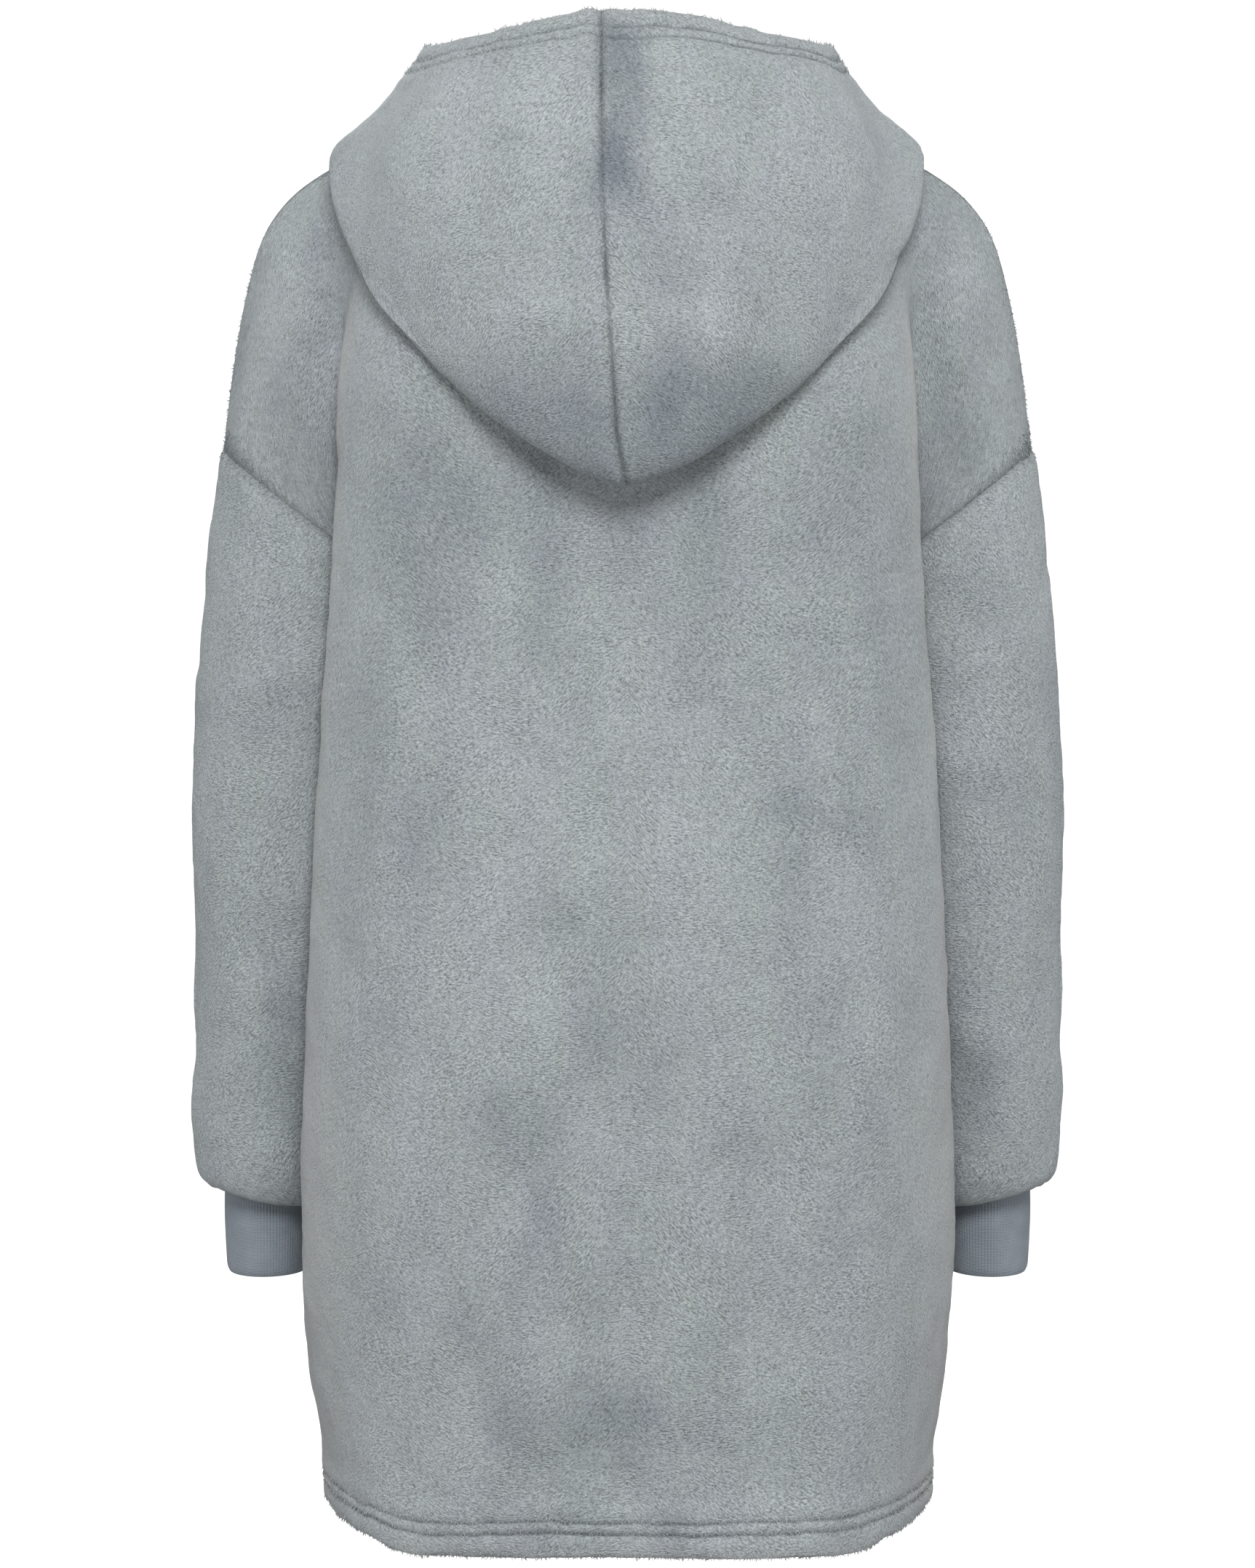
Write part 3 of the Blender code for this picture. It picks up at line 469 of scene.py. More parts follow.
def lengths_across(grid):
    """How far across the cloth each point is from the first one of its row."""
    return lengths_of(grid.swapaxes(0, 1)).swapaxes(0, 1)


def points_at(places, own, line):
    """Points of a line at new places, read off between its own."""
    return np.stack([np.interp(places, own, line[:, k]) for k in range(3)], axis=-1)


def neckline(turns):
    """Points of the neckline. The turn is 0 at the centre back, 90 beside the neck, 180 in front."""
    side, back = np.sin(np.radians(turns)), np.cos(np.radians(turns))
    behind, ahead = np.clip(back, 0, 1), np.clip(-back, 0, 1)
    y = NECK_SIDE_Y + (NECK_BACK_Y - NECK_SIDE_Y) * behind - (NECK_SIDE_Y - NECK_FRONT_Y) * ahead
    z = NECK_BACK_Z * behind**1.3 + NECK_FRONT_Z * ahead**1.5
    return np.stack([NECK_HALF * side, y, z], axis=-1)


def armhole(turns):
    """Points of the armhole seam. The turn is 0 outside the arm, 90 at its back, 180 at the armpit."""
    x = ARMHOLE_X + ARMHOLE_HALF_X * np.cos(np.radians(turns))
    y = ARMHOLE_Y + ARMHOLE_HALF_Y * np.sin(np.radians(turns))
    z = ARMHOLE_TOP_Z - ARMHOLE_SLOPE * (ARMHOLE_X + ARMHOLE_HALF_X - x)
    return np.stack([x, y, z], axis=-1)


def body_arc(centre_y, centre_z, fold):
    """Stops on the body from its centre to its fold: flat in the middle, then a rounded corner."""
    stops = []
    for across, deep in ((0.0, 1.0), (0.50, 0.975), (0.80, 0.73)):
        y = fold[1] + (centre_y - fold[1]) * deep
        z = centre_z + (fold[2] - centre_z) * across**1.5
        stops.append((fold[0] * across, y, z))
    return stops + [fold]


def level_row(level, back):
    """Stops of one level of the body below the armpits, from the centre to the side seam."""
    z, back_y, fold_x, fold_y, side_x, side_y, corner_x, corner_y, front_y = level
    if back:
        edge_x, edge_y, centre_y, hollow, last = fold_x, fold_y, back_y, 0.50, 0.78
    else:
        edge_x, edge_y, centre_y, hollow, last = corner_x, corner_y, front_y, 0.42, 0.74
    stops = body_arc(centre_y, z, (edge_x, edge_y, z))
    stops.append((0.45 * edge_x + 0.55 * side_x, edge_y + hollow * (side_y - edge_y), z))
    stops.append((0.14 * edge_x + 0.86 * side_x, edge_y + last * (side_y - edge_y), z))
    return stops + [(side_x, side_y, z)]


def shoulder_row(back):
    """The top line of a panel: the neckline, then the shoulder seam, at every column."""
    ends = (0, 45, 90) if back else (180, 135, 90)
    neck = neckline(stepped(ends, ACROSS_STEPS[:2]))
    seam = smooth_curve(SHOULDER_SEAM, [12] * (len(SHOULDER_SEAM) - 1))
    places = stepped(SHOULDER_STOPS, ACROSS_STEPS[2:])[1:]
    return np.concatenate([neck, points_at(places, np.arange(len(seam)) / 12, seam)])


def half_panel(back):
    """The grid of half a panel: rows from the shoulder to the hem, columns from the centre out."""
    sign = 1 if back else -1
    rows = [shoulder_row(back)]
    for row, turn in zip(BACK_YOKE if back else FRONT_YOKE, ARMHOLE_STOPS[1:]):
        (centre_z, centre_y), fold, hollow, arm = row
        stops = body_arc(centre_y, centre_z, fold) + [hollow, arm, tuple(armhole(sign * turn))]
        rows.append(smooth_curve(stops, ACROSS_STEPS, before=np.array(stops[1]) * MIRROR))
    for level in BODY_LEVELS:
        stops = level_row(level, back)
        beyond = level_row(level, not back)[-2]
        rows.append(smooth_curve(stops, ACROSS_STEPS, np.array(stops[1]) * MIRROR, beyond))
    grid = smooth_curve(rows, YOKE_STEPS + LEVEL_STEPS)
    turns = stepped(ARMHOLE_STOPS, YOKE_STEPS)
    grid[: len(turns), -1] = armhole(sign * turns)
    return edge_rows(grid, LEVEL_STEPS[-1])


def edge_rows(grid, replaced):
    """The grid with its last rows set at the distances from its edge that the stitching needs."""
    back = grid[::-1]
    lengths = lengths_of(back)
    places = np.array(EDGE_ROWS) / 1000
    columns = [points_at(places, lengths[:, j], back[:, j]) for j in range(grid.shape[1])]
    return np.concatenate([grid[:-replaced], np.stack(columns, axis=1)[::-1]])


def whole(half):
    """Half a grid and its mirror image as one grid across the middle."""
    return np.concatenate([half[:, :0:-1] * MIRROR, half], axis=1)


def mirror_image(grid):
    """The grid for the other side of the body, its columns turned round so that it faces out."""
    return grid[:, ::-1] * MIRROR


def sleeve_grid():
    """The left sleeve: rings round the arm, from the armhole down to the cuff's seam."""
    turns = stepped(ARMHOLE_STOPS, YOKE_STEPS)
    turns = np.roll(np.concatenate([turns, 360 - turns[-2:0:-1]]), len(turns) - 1)
    rings = [armhole(turns)]
    across, deep = np.cos(np.radians(turns)), np.sin(np.radians(turns))
    for outer_z, inner_z, x, y, half_x, half_y in SLEEVE_RINGS:
        z = outer_z + (inner_z - outer_z) * (1 - across) / 2
        rings.append(np.stack([x + half_x * across, y + half_y * deep, z], axis=1))
    return smooth_curve(rings, SLEEVE_STEPS)


def cuff_grid(inside):
    """The left cuff: a tube of fine ribs, with its lower edge folded round to a smooth inside."""
    turns = np.radians(np.linspace(0, 360, 4 * CUFF_RIBS, endpoint=False))
    ribs = RIB_RISE * np.abs(np.cos(turns * CUFF_RIBS / 2)) ** 0.7
    rings = []
    for place in np.r_[np.linspace(0, CUFF_FOLD, 17), 0.955, 0.975, 0.99, 1.0]:
        z = CUFF_TOP_Z + (CUFF_BOTTOM_Z - CUFF_TOP_Z) * place
        fold = CUFF_FOLD_DEPTH * np.clip((place - CUFF_FOLD) / 0.07, 0, 1) ** 2
        swell = 0.0006 * np.sin(pi * place) + 0.0004 * np.sin(turns * 3 + place * 4)
        if inside:
            out = fold - CLOTH + swell
        else:
            out = ribs * (1 - 0.5 * place**8) - fold + swell
        x = CUFF_X + (CUFF_HALF_X + out) * np.cos(turns)
        y = CUFF_Y + (CUFF_HALF_Y + out) * np.sin(turns)
        rings.append(np.stack([x, y, np.full(len(turns), z)], axis=1))
    return np.array(rings)


def hood_profile(section, turn):
    """Stops of the hood's cloth in one direction, from the neckline to the rim."""
    fold, rim, swell, laid = section
    fold, rim, neck = np.array(fold), np.array(rim), neckline(turn)
    out = np.array([np.sin(np.radians(turn)), np.cos(np.radians(turn)), 0])
    up = np.array([0, 0, 1])
    low_in = fold - out * HOOD_ROLL + up * HOOD_ROLL
    low_out = fold + out * HOOD_ROLL + up * HOOD_ROLL
    lip = neck + out * HOOD_LIP[0] + up * HOOD_LIP[1]
    over = neck + out * HOOD_OVER[0] + up * HOOD_OVER[1]
    down = (over + low_in) / 2
    middle = low_out + (rim - low_out) * 0.45 + out * swell
    high = low_out + (rim - low_out) * 0.82 + out * swell * 0.72
    laid_over = np.array([neck, lip, over, down, low_in, fold, low_out, middle, high, rim])
    standing = neck + (rim - neck) * np.linspace(0, 1, len(laid_over))[:, None]
    return standing + (laid_over - standing) * laid


def hood_grid():
    """The wearer's left half of the hood: one column of cloth for each direction round the neck."""
    turns = np.linspace(0, 180, len(HOOD_SECTIONS))
    profiles = np.array([hood_profile(s, t) for s, t in zip(HOOD_SECTIONS, turns)])
    lines = smooth_curve(profiles, HOOD_TURN_STEPS, profiles[1] * MIRROR, profiles[-2] * MIRROR)
    sections = smooth_curve(lines.swapaxes(0, 1), HOOD_STEPS)
    return rim_rows(sections)


def fold_row():
    """The row of the hood's fine grid that runs along its lower fold."""
    rows = sum(HOOD_STEPS)
    return round(sum(HOOD_STEPS[:5]) * (rows + 1 - len(RIM_ROWS)) / rows)


def rim_rows(grid):
    """The hood's grid with its rows spread evenly up each section, and close together near the rim."""
    near = np.array(RIM_ROWS) / 1000
    back = grid[::-1]
    lengths = lengths_of(back)
    count = grid.shape[0] - len(near)
    columns = []
    for j in range(grid.shape[1]):
        own = lengths[:, j]
        rest = np.interp(np.linspace(0, len(own) - 1, count + 1)[1:], np.arange(len(own)), own)
        rest = near[-1] + rest / own[-1] * (own[-1] - near[-1])
        columns.append(points_at(np.concatenate([near, rest]), own, back[:, j]))
    return np.stack(columns, axis=1)[::-1]


def near_seam(grid):
    """The grid with more columns close to its first one, for the seam that runs there."""
    near = np.array(SEAM_COLUMNS) / 1000
    rows = []
    for row in grid:
        own = lengths_of(row)
        places = np.concatenate([near, near[-1] + own[3:] / own[-1] * (own[-1] - near[-1])])
        rows.append(points_at(places, own, row))
    return np.array(rows)


def lean_seam(half, side):
    """One half of the hood, cut along its leaning centre seam from the hood's even shape."""
    rows, columns = half.shape[:2]
    around = whole(half)
    turns = np.arange(-(columns - 1), columns)
    heights, leans = zip(*SEAM_LEAN)
    outer = (np.arange(rows) - fold_row()) / LEAN_ROWS
    near = np.clip(1 - np.arange(columns) / LEAN_COLUMNS, 0, 1) ** 2
    moved = np.empty_like(half)
    for i in range(rows):
        lean = np.interp(half[i, 0, 2], heights, leans) * np.clip(outer[i], 0, 1)
        across = half[i, 1, 0] - half[i, 0, 0]
        places = np.arange(columns) + side * lean / max(across, 1e-4) * near
        moved[i] = points_at(places, turns, around[i])
    return near_seam(moved)


def face_normals(grid, closed):
    """For each point of the grid, the sum of the normals of the faces round it."""
    right = np.roll(grid, -1, axis=1)
    a, b, c, d = grid[:-1], grid[1:], right[1:], right[:-1]
    normal = np.cross(c - a, d - b)
    if not closed:
        normal[:, -1] = 0
    total = np.zeros_like(grid)
    total[:-1] += normal
    total[1:] += normal
    beside = np.roll(normal, 1, axis=1)
    total[:-1] += beside
    total[1:] += beside
    return total


def shared_normals(pieces):
    """Unit normals for every piece's points, the same on both sides of a seam."""
    points = np.concatenate([grid.reshape(-1, 3) for grid, _ in pieces.values()])
    sums = [face_normals(grid, closed).reshape(-1, 3) for grid, closed in pieces.values()]
    sums = np.concatenate(sums)
    _, place = np.unique(np.round(points, 5), axis=0, return_inverse=True)
    place = place.reshape(-1)
    joined = np.stack([np.bincount(place, weights=sums[:, k]) for k in range(3)], axis=1)
    normals = joined[place]
    normals /= np.linalg.norm(normals, axis=1, keepdims=True)
    found, start = {}, 0
    for name, (grid, _) in pieces.items():
        count = grid.shape[0] * grid.shape[1]
        found[name] = normals[start : start + count].reshape(grid.shape)
        start += count
    return found


def fold_rise(points, normals, folds):
    """How far soft folds of the body lift each point."""
    rise = np.zeros(points.shape[:2])
    for start, end, half_width, height in folds:
        start, end = np.array(start), np.array(end)
        span = end - start
        flat = points[..., [0, 2]] - start
        share = (flat @ span) / (span @ span)
        aside = np.abs(flat[..., 0] * span[1] - flat[..., 1] * span[0]) / np.linalg.norm(span)
        ends = np.clip(np.sin(pi * np.clip(share, 0, 1)), 0, 1) ** 0.7
        rise += height * ends * np.exp(-((aside / half_width) ** 2))
    behind = np.where(points[..., 1] > 0, 1.0, 0.6)
    return rise * behind * np.abs(normals[..., 1])


def sleeve_rise(points, mirrored):
    """How far the soft folds of a sleeve lift each point."""
    rise = np.zeros(points.shape[:2])
    across = points[..., 0] - SLEEVE_X
    turns = np.degrees(np.arctan2(points[..., 1] - SLEEVE_Y, across)) % 360
    for turn, z, spread, half_height, height in SLEEVE_FOLDS:
        if mirrored:
            turn, z = (turn + RIGHT_FOLDS_TURN) % 360, z + RIGHT_FOLDS_RISE
        off = np.abs((turns - turn + 180) % 360 - 180)
        slope = z + 0.00018 * (turns - turn)
        rise += height * np.exp(-((off / spread) ** 2) - ((points[..., 2] - slope) / half_height) ** 2)
    return rise


def soft_noise(points, size, seed):
    """Smooth noise from -1 to 1 at the points, with lumps of about the given size."""
    lattice = np.random.default_rng(seed).uniform(-1, 1, (32, 32, 32))
    place = points / size
    low = np.floor(place).astype(int)
    share = place - low
    share = share * share * (3 - 2 * share)
    total = np.zeros(points.shape[:-1])
    for corner in np.ndindex(2, 2, 2):
        index = (low + corner) % 32
        weight = np.prod(np.where(corner, share, 1 - share), axis=-1)
        total += weight * lattice[index[..., 0], index[..., 1], index[..., 2]]
    return total


def pile_lumps(points):
    """The lumps of uneven pile at the points."""
    return sum(height * soft_noise(points, size, seed) for height, size, seed in LUMPS)


def trough(distance, width):
    """A soft trough, one deep at no distance and gone at about twice the width."""
    return np.exp(-((distance / width) ** 2))


def wandering(distance, points):
    """The distance from an edge as the uneven stitching follows it."""
    for reach, size, seed in STITCH_WANDER:
        distance = distance - reach * soft_noise(points, size, seed)
    return distance


def stitched_edge(distance, points, lines):
    """The relief and the pressed look of a turned edge with its two lines of stitching."""
    distance = wandering(distance, points)
    hold = 0.60 + 0.40 * soft_noise(points, 0.008, 13)
    inner, outer = lines
    between = np.clip(np.sin(pi * (distance - inner) / (outer - inner)), 0, 1)
    between *= (distance > inner) & (distance < outer)
    puffed = np.clip(np.sin(pi * np.clip(distance / inner, 0, 1)), 0, 1) ** 0.7
    above = np.exp(-(((distance - outer - 0.006) / 0.005) ** 2))
    relief = 0.0016 * puffed + 0.0010 * between + 0.0008 * above
    pressed = np.zeros_like(distance)
    for line in lines:
        near = trough(distance - line, STITCH_WIDTH) * hold
        relief -= STITCH_DEPTH * near
        pressed = np.maximum(pressed, near)
    relief -= 0.0016 * np.exp(-distance / EDGE_ROUND_WIDTH)
    return relief, pressed


def tree_of(grids):
    """A search tree of the panels' right side, to lay other cloth on it."""
    points, faces, start = [], [], 0
    for grid in grids:
        rows, columns = grid.shape[:2]
        first = np.arange(rows * columns).reshape(rows, columns)[:-1, :-1].reshape(-1) + start
        faces += np.stack([first, first + columns, first + columns + 1, first + 1], 1).tolist()
        points += grid.reshape(-1, 3).tolist()
        start += rows * columns
    return BVHTree.FromPolygons(points, faces)


def laid_on(grid, tree, gap, closed):
    """The grid lifted until it is clear of the cloth beneath it, with no sudden steps."""
    lifts = np.zeros_like(grid)
    for i in range(1, grid.shape[0]):
        for j in range(grid.shape[1]):
            point = Vector(grid[i, j])
            place, normal, _, far = tree.find_nearest(point)
            height = (point - place).dot(normal)
            aside = (point - place - normal * height).length
            if height < gap and far < LAY_REACH and aside < LAY_ASIDE:
                lifts[i, j] = normal * (gap - height)
    return grid + evened(lifts, 5, closed)


def evened(values, times, closed):
    """Values on a grid, each made the mean of itself and its neighbours, so many times over."""
    for _ in range(times):
        wide = np.concatenate([values[:1], values, values[-1:]])
        values = (wide[:-2] + 2 * wide[1:-1] + wide[2:]) / 4
        if closed:
            wide = np.concatenate([values[:, -1:], values, values[:, :1]], axis=1)
        else:
            wide = np.concatenate([values[:, :1], values, values[:, -1:]], axis=1)
        values = (wide[:, :-2] + 2 * wide[:, 1:-1] + wide[:, 2:]) / 4
    return values


def nap_of(points, patches):
    """How the nap lies at each point, dark below zero and pale above, with ragged patches, some of them
    painted shadow and painted light.
    """
    moved = points
    for reach, size, seed in NAP_STRAY:
        stray = [soft_noise(points, size, seed + axis) for axis in range(3)]
        moved = moved + reach * np.stack(stray, axis=-1)
    behind = np.clip(points[..., 1] / 0.03 + 1, 0, 1)
    nap = NAP_STREAKS * soft_noise(points * (1, 1, 0.4), 0.024, 27)
    nap += NAP_FLECKS * soft_noise(points, 0.016, 28)
    for x, z, half_width, half_height, turn in patches:
        off = ((moved[..., 0] - x) / half_width) ** 2 + ((moved[..., 2] - z) / half_height) ** 2
        nap += NAP_PATCH * turn * np.exp(-0.7 * off) * behind
    return nap


def wall_depth(relief):
    """How deep the wrong side lies: deeper than the cloth where the right side is pressed in."""
    return np.maximum(CLOTH, THINNEST - relief)


def both_sides(base, normals, relief, moves):
    """The cloth's right side, lifted by its relief, and its wrong side."""
    outer = base + normals * relief[..., None] + moves
    return outer, base - normals * wall_depth(relief)[..., None] + moves


def rounded(distance):
    """How far the wrong side comes out to meet a turned edge."""
    return EDGE_ROUND * np.exp(-distance / EDGE_ROUND_WIDTH)


def pull_back(grid, side, gap):
    """How far each point moves so that one side of the grid stands back from its seam."""
    move = np.zeros_like(grid)
    edge, inner = {
        "top": ((0,), (1,)),
        "first": ((slice(None), 0), (slice(None), 1)),
        "last": ((slice(None), -1), (slice(None), -2)),
    }[side]
    away = grid[inner] - grid[edge]
    move[edge] = away / np.linalg.norm(away, axis=-1, keepdims=True) * gap
    return move


def side_laps(grid):
    """How far each point moves so that both sides of the grid reach over their seams."""
    return pull_back(grid, "first", -SEAM_LAP) + pull_back(grid, "last", -SEAM_LAP)


def grid_faces(rows, columns, closed, start, turned):
    """The faces of a grid of points, as rows of four point numbers."""
    spans = columns if closed else columns - 1
    i, j = np.meshgrid(np.arange(rows - 1), np.arange(spans), indexing="ij")
    k = (j + 1) % columns
    corners = [i * columns + j, (i + 1) * columns + j, (i + 1) * columns + k, i * columns + k]
    faces = np.stack(corners, axis=-1).reshape(-1, 4) + start
    return faces[:, ::-1] if turned else faces


def edge_faces(line, far, turned):
    """The faces that join one edge of the right side to the same edge of the wrong side."""
    faces = np.stack([line[:-1], line[1:], line[1:] + far, line[:-1] + far], axis=1)
    return faces[:, ::-1] if turned else faces


def shell_faces(rows, columns, closed):
    """The faces of a closed wall: its right side, its wrong side and its edges."""
    far = rows * columns
    numbers = np.arange(far).reshape(rows, columns)
    faces = [grid_faces(rows, columns, closed, 0, False), grid_faces(rows, columns, closed, far, True)]
    top, bottom = numbers[0], numbers[-1]
    if closed:
        top, bottom = np.append(top, top[0]), np.append(bottom, bottom[0])
    faces += [edge_faces(top, far, False), edge_faces(bottom, far, True)]
    if not closed:
        faces += [edge_faces(numbers[:, 0], far, True), edge_faces(numbers[:, -1], far, False)]
    return np.concatenate(faces)


def cloth_lengths(name, outer):
    """Each point's place on the flat cloth: how far across it and how far along it."""
    along, across = lengths_back(outer), lengths_across(outer)
    if name.endswith("right"):
        across = across[:, -1:] - across
    if name.endswith("panel"):
        along, across = lengths_of(outer), np.abs(across - across[:, outer.shape[1] // 2, None])
    return np.stack([across, along], axis=-1).reshape(-1, 2)


def lay_flat(mesh, flat):
    """Give every corner of the wall's faces its place on the flat cloth."""
    corners = np.empty(len(mesh.loops), int)
    mesh.loops.foreach_get("vertex_index", corners)
    flat = flat[corners % len(flat)].reshape(-1, 4, 2)
    girth = flat[..., 0].max()
    over_seam = (np.ptp(flat[..., 0], axis=1) > girth / 2)[:, None] & (flat[..., 0] < girth / 2)
    flat[..., 0] += over_seam * girth
    mesh.uv_layers.new(name="cloth").data.foreach_set("uv", flat.reshape(-1))


def cloth_shell(name, outer, inner, closed, marks, finish):
    """A closed wall between the two grids, with its cloth lengths and the marks of its pile."""
    points = np.concatenate([outer.reshape(-1, 3), inner.reshape(-1, 3)])
    mesh = bpy.data.meshes.new(name)
    mesh.from_pydata(points.tolist(), [], shell_faces(*outer.shape[:2], closed).tolist())
    mesh.polygons.foreach_set("use_smooth", [True] * len(mesh.polygons))
    lay_flat(mesh, cloth_lengths(name, outer))
    for mark, values in marks.items():
        own = mesh.attributes.new(mark, "FLOAT", "POINT")
        own.data.foreach_set("value", np.concatenate([values.reshape(-1), 0 * values.reshape(-1)]))
    mesh.materials.append(finish)
    made = bpy.data.objects.new(name, mesh)
    bpy.context.scene.collection.objects.link(made)
    return made


def scattered(grid, normals, weight, marks, seed):
    """Random places on a grid, close together where the weight is high, and how pile leans there."""
    random = np.random.default_rng(seed)
    down, aside = np.diff(grid, axis=0)[:, :-1], np.diff(grid, axis=1)[:-1]
    area = np.linalg.norm(np.cross(down, aside), axis=-1)
    chance = area * (weight[:-1, :-1] + weight[1:, 1:]) / 2
    count = int(chance.sum() * LOCKS_PER_AREA)
    chosen = random.choice(chance.size, count, p=(chance / chance.sum()).reshape(-1))
    i, j = np.unravel_index(chosen, chance.shape)
    s, t = random.uniform(0, 1, (2, count, 1))

    def between(values):
        upper = values[i, j] * (1 - t) + values[i, j + 1] * t
        lower = values[i + 1, j] * (1 - t) + values[i + 1, j + 1] * t
        return upper * (1 - s) + lower * s

    along = down[i, j] / np.linalg.norm(down[i, j], axis=1, keepdims=True)
    across = aside[i, j] / np.linalg.norm(aside[i, j], axis=1, keepdims=True)
    leans = 0.55 * between(normals) + random.uniform(0.5, 1.0, (count, 1)) * along
    leans += random.normal(0, 0.45, (count, 1)) * across
    found = {key: between(values[..., None])[:, 0] for key, values in marks.items()}
    return between(grid) - 0.0003 * between(normals), leans, found


def stitches_along(outer, distance, line):
    """Evenly spaced places for the stitches of one line, and the way that each runs."""
    path = []
    for j in range(outer.shape[1]):
        order = np.argsort(distance[:, j])
        path.append(points_at(line, distance[order, j], outer[order, j]))
    path = np.array(path)
    lengths = lengths_of(path)
    starts = np.arange(0.002, lengths[-1] - STITCH_SPACING, STITCH_SPACING)
    first, last = (points_at(starts + reach, lengths, path) for reach in (0, STITCH_LENGTH))
    return (first + last) / 2, last - first


class Nodes:
    """A node tree under construction: nodes are added by kind, and joined by name."""

    def __init__(self, tree):
        self.tree = tree

    def add(self, kind, inputs=None, **settings):
        made = self.tree.nodes.new(kind)
        for key, value in settings.items():
            setattr(made, key, value)
        for key, value in (inputs or {}).items():
            self.put(made.inputs[key], value)
        return made

    def put(self, socket, value):
        if isinstance(value, bpy.types.NodeSocket):
            self.tree.links.new(value, socket)
        else:
            socket.default_value = value


def small_shape(nodes, kind):
    """The mesh socket of one lock of pile, a thin tapering cone, or of one stitch."""
    if kind == "lock":
        sizes = {"Vertices": 3, "Side Segments": 2, "Radius Top": 0.12, "Radius Bottom": 0.5, "Depth": 1.0}
        return nodes.add("GeometryNodeMeshCone", sizes, fill_type="NONE").outputs["Mesh"]
    sizes = {"Segments": 6, "Rings": 4, "Radius": 0.5}
    return nodes.add("GeometryNodeMeshUVSphere", sizes).outputs["Mesh"]


def in_use(sockets, name=""):
    """The sockets that a node with several kinds of value shows now."""
    return [socket for socket in sockets if socket.enabled and name in socket.name]


def points_tree(kind):
    """Nodes that set a small shape on each point, turned the way the point leans."""
    tree = bpy.data.node_groups.new(f"{kind}s_on_points", "GeometryNodeTree")
    for label, socket in GIVEN_SOCKETS.items():
        tree.interface.new_socket(name=label, in_out="INPUT", socket_type=f"NodeSocket{socket}")
    tree.interface.new_socket(name="Shapes", in_out="OUTPUT", socket_type="NodeSocketGeometry")
    nodes = Nodes(tree)
    given = nodes.add("NodeGroupInput").outputs
    lean = nodes.add("GeometryNodeInputNamedAttribute", {"Name": "lean"}, data_type="FLOAT_VECTOR")
    turned = nodes.add("FunctionNodeAlignRotationToVector", {"Vector": in_use(lean.outputs)[0]}, axis="Z")
    uneven = nodes.add("FunctionNodeRandomValue", {"Seed": given["Seed"]}, data_type="FLOAT")
    for name, value in zip(("Min", "Max"), UNEVEN_SIZES[kind]):
        in_use(uneven.inputs, name)[0].default_value = value
    thickness, length = given["Thickness"], given["Length"]
    sizes = nodes.add("ShaderNodeCombineXYZ", {"X": thickness, "Y": thickness, "Z": length})
    scale = {0: sizes.outputs[0], "Scale": in_use(uneven.outputs)[0]}
    placing = {
        "Points": given["Points"],
        "Instance": small_shape(nodes, kind),
        "Rotation": turned.outputs["Rotation"],
        "Scale": nodes.add("ShaderNodeVectorMath", scale, operation="SCALE").outputs[0],
    }
    placed = nodes.add("GeometryNodeInstanceOnPoints", placing).outputs["Instances"]
    made = nodes.add("GeometryNodeRealizeInstances", {"Geometry": placed}).outputs["Geometry"]
    finished = nodes.add("GeometryNodeSetMaterial", {"Geometry": made, "Material": given["Finish"]})
    nodes.add("NodeGroupOutput", {"Shapes": finished.outputs["Geometry"]})
    return tree


def set_on_points(name, tree, points, leans, marks, sizes, finish):
    """One plain mesh of the tree's small shapes, set on the points."""
    mesh = bpy.data.meshes.new(name)
    mesh.from_pydata(points.tolist(), [], [])
    mesh.attributes.new("lean", "FLOAT_VECTOR", "POINT").data.foreach_set("vector", leans.reshape(-1))
    for mark, values in marks.items():
        mesh.attributes.new(mark, "FLOAT", "POINT").data.foreach_set("value", values)
    made = bpy.data.objects.new(name, mesh)
    bpy.context.scene.collection.objects.link(made)
    grown = made.modifiers.new("shapes", "NODES")
    grown.node_group = tree
    given = {"Length": sizes[0], "Thickness": sizes[1], "Seed": len(points), "Finish": finish}
    for socket in tree.interface.items_tree:
        if socket.name in given:
            grown[socket.identifier] = given[socket.name]
    bpy.context.view_layer.update()
    whole_mesh = bpy.data.meshes.new_from_object(made.evaluated_get(bpy.context.evaluated_depsgraph_get()))
    made.modifiers.remove(grown)
    made.data = whole_mesh
    return made


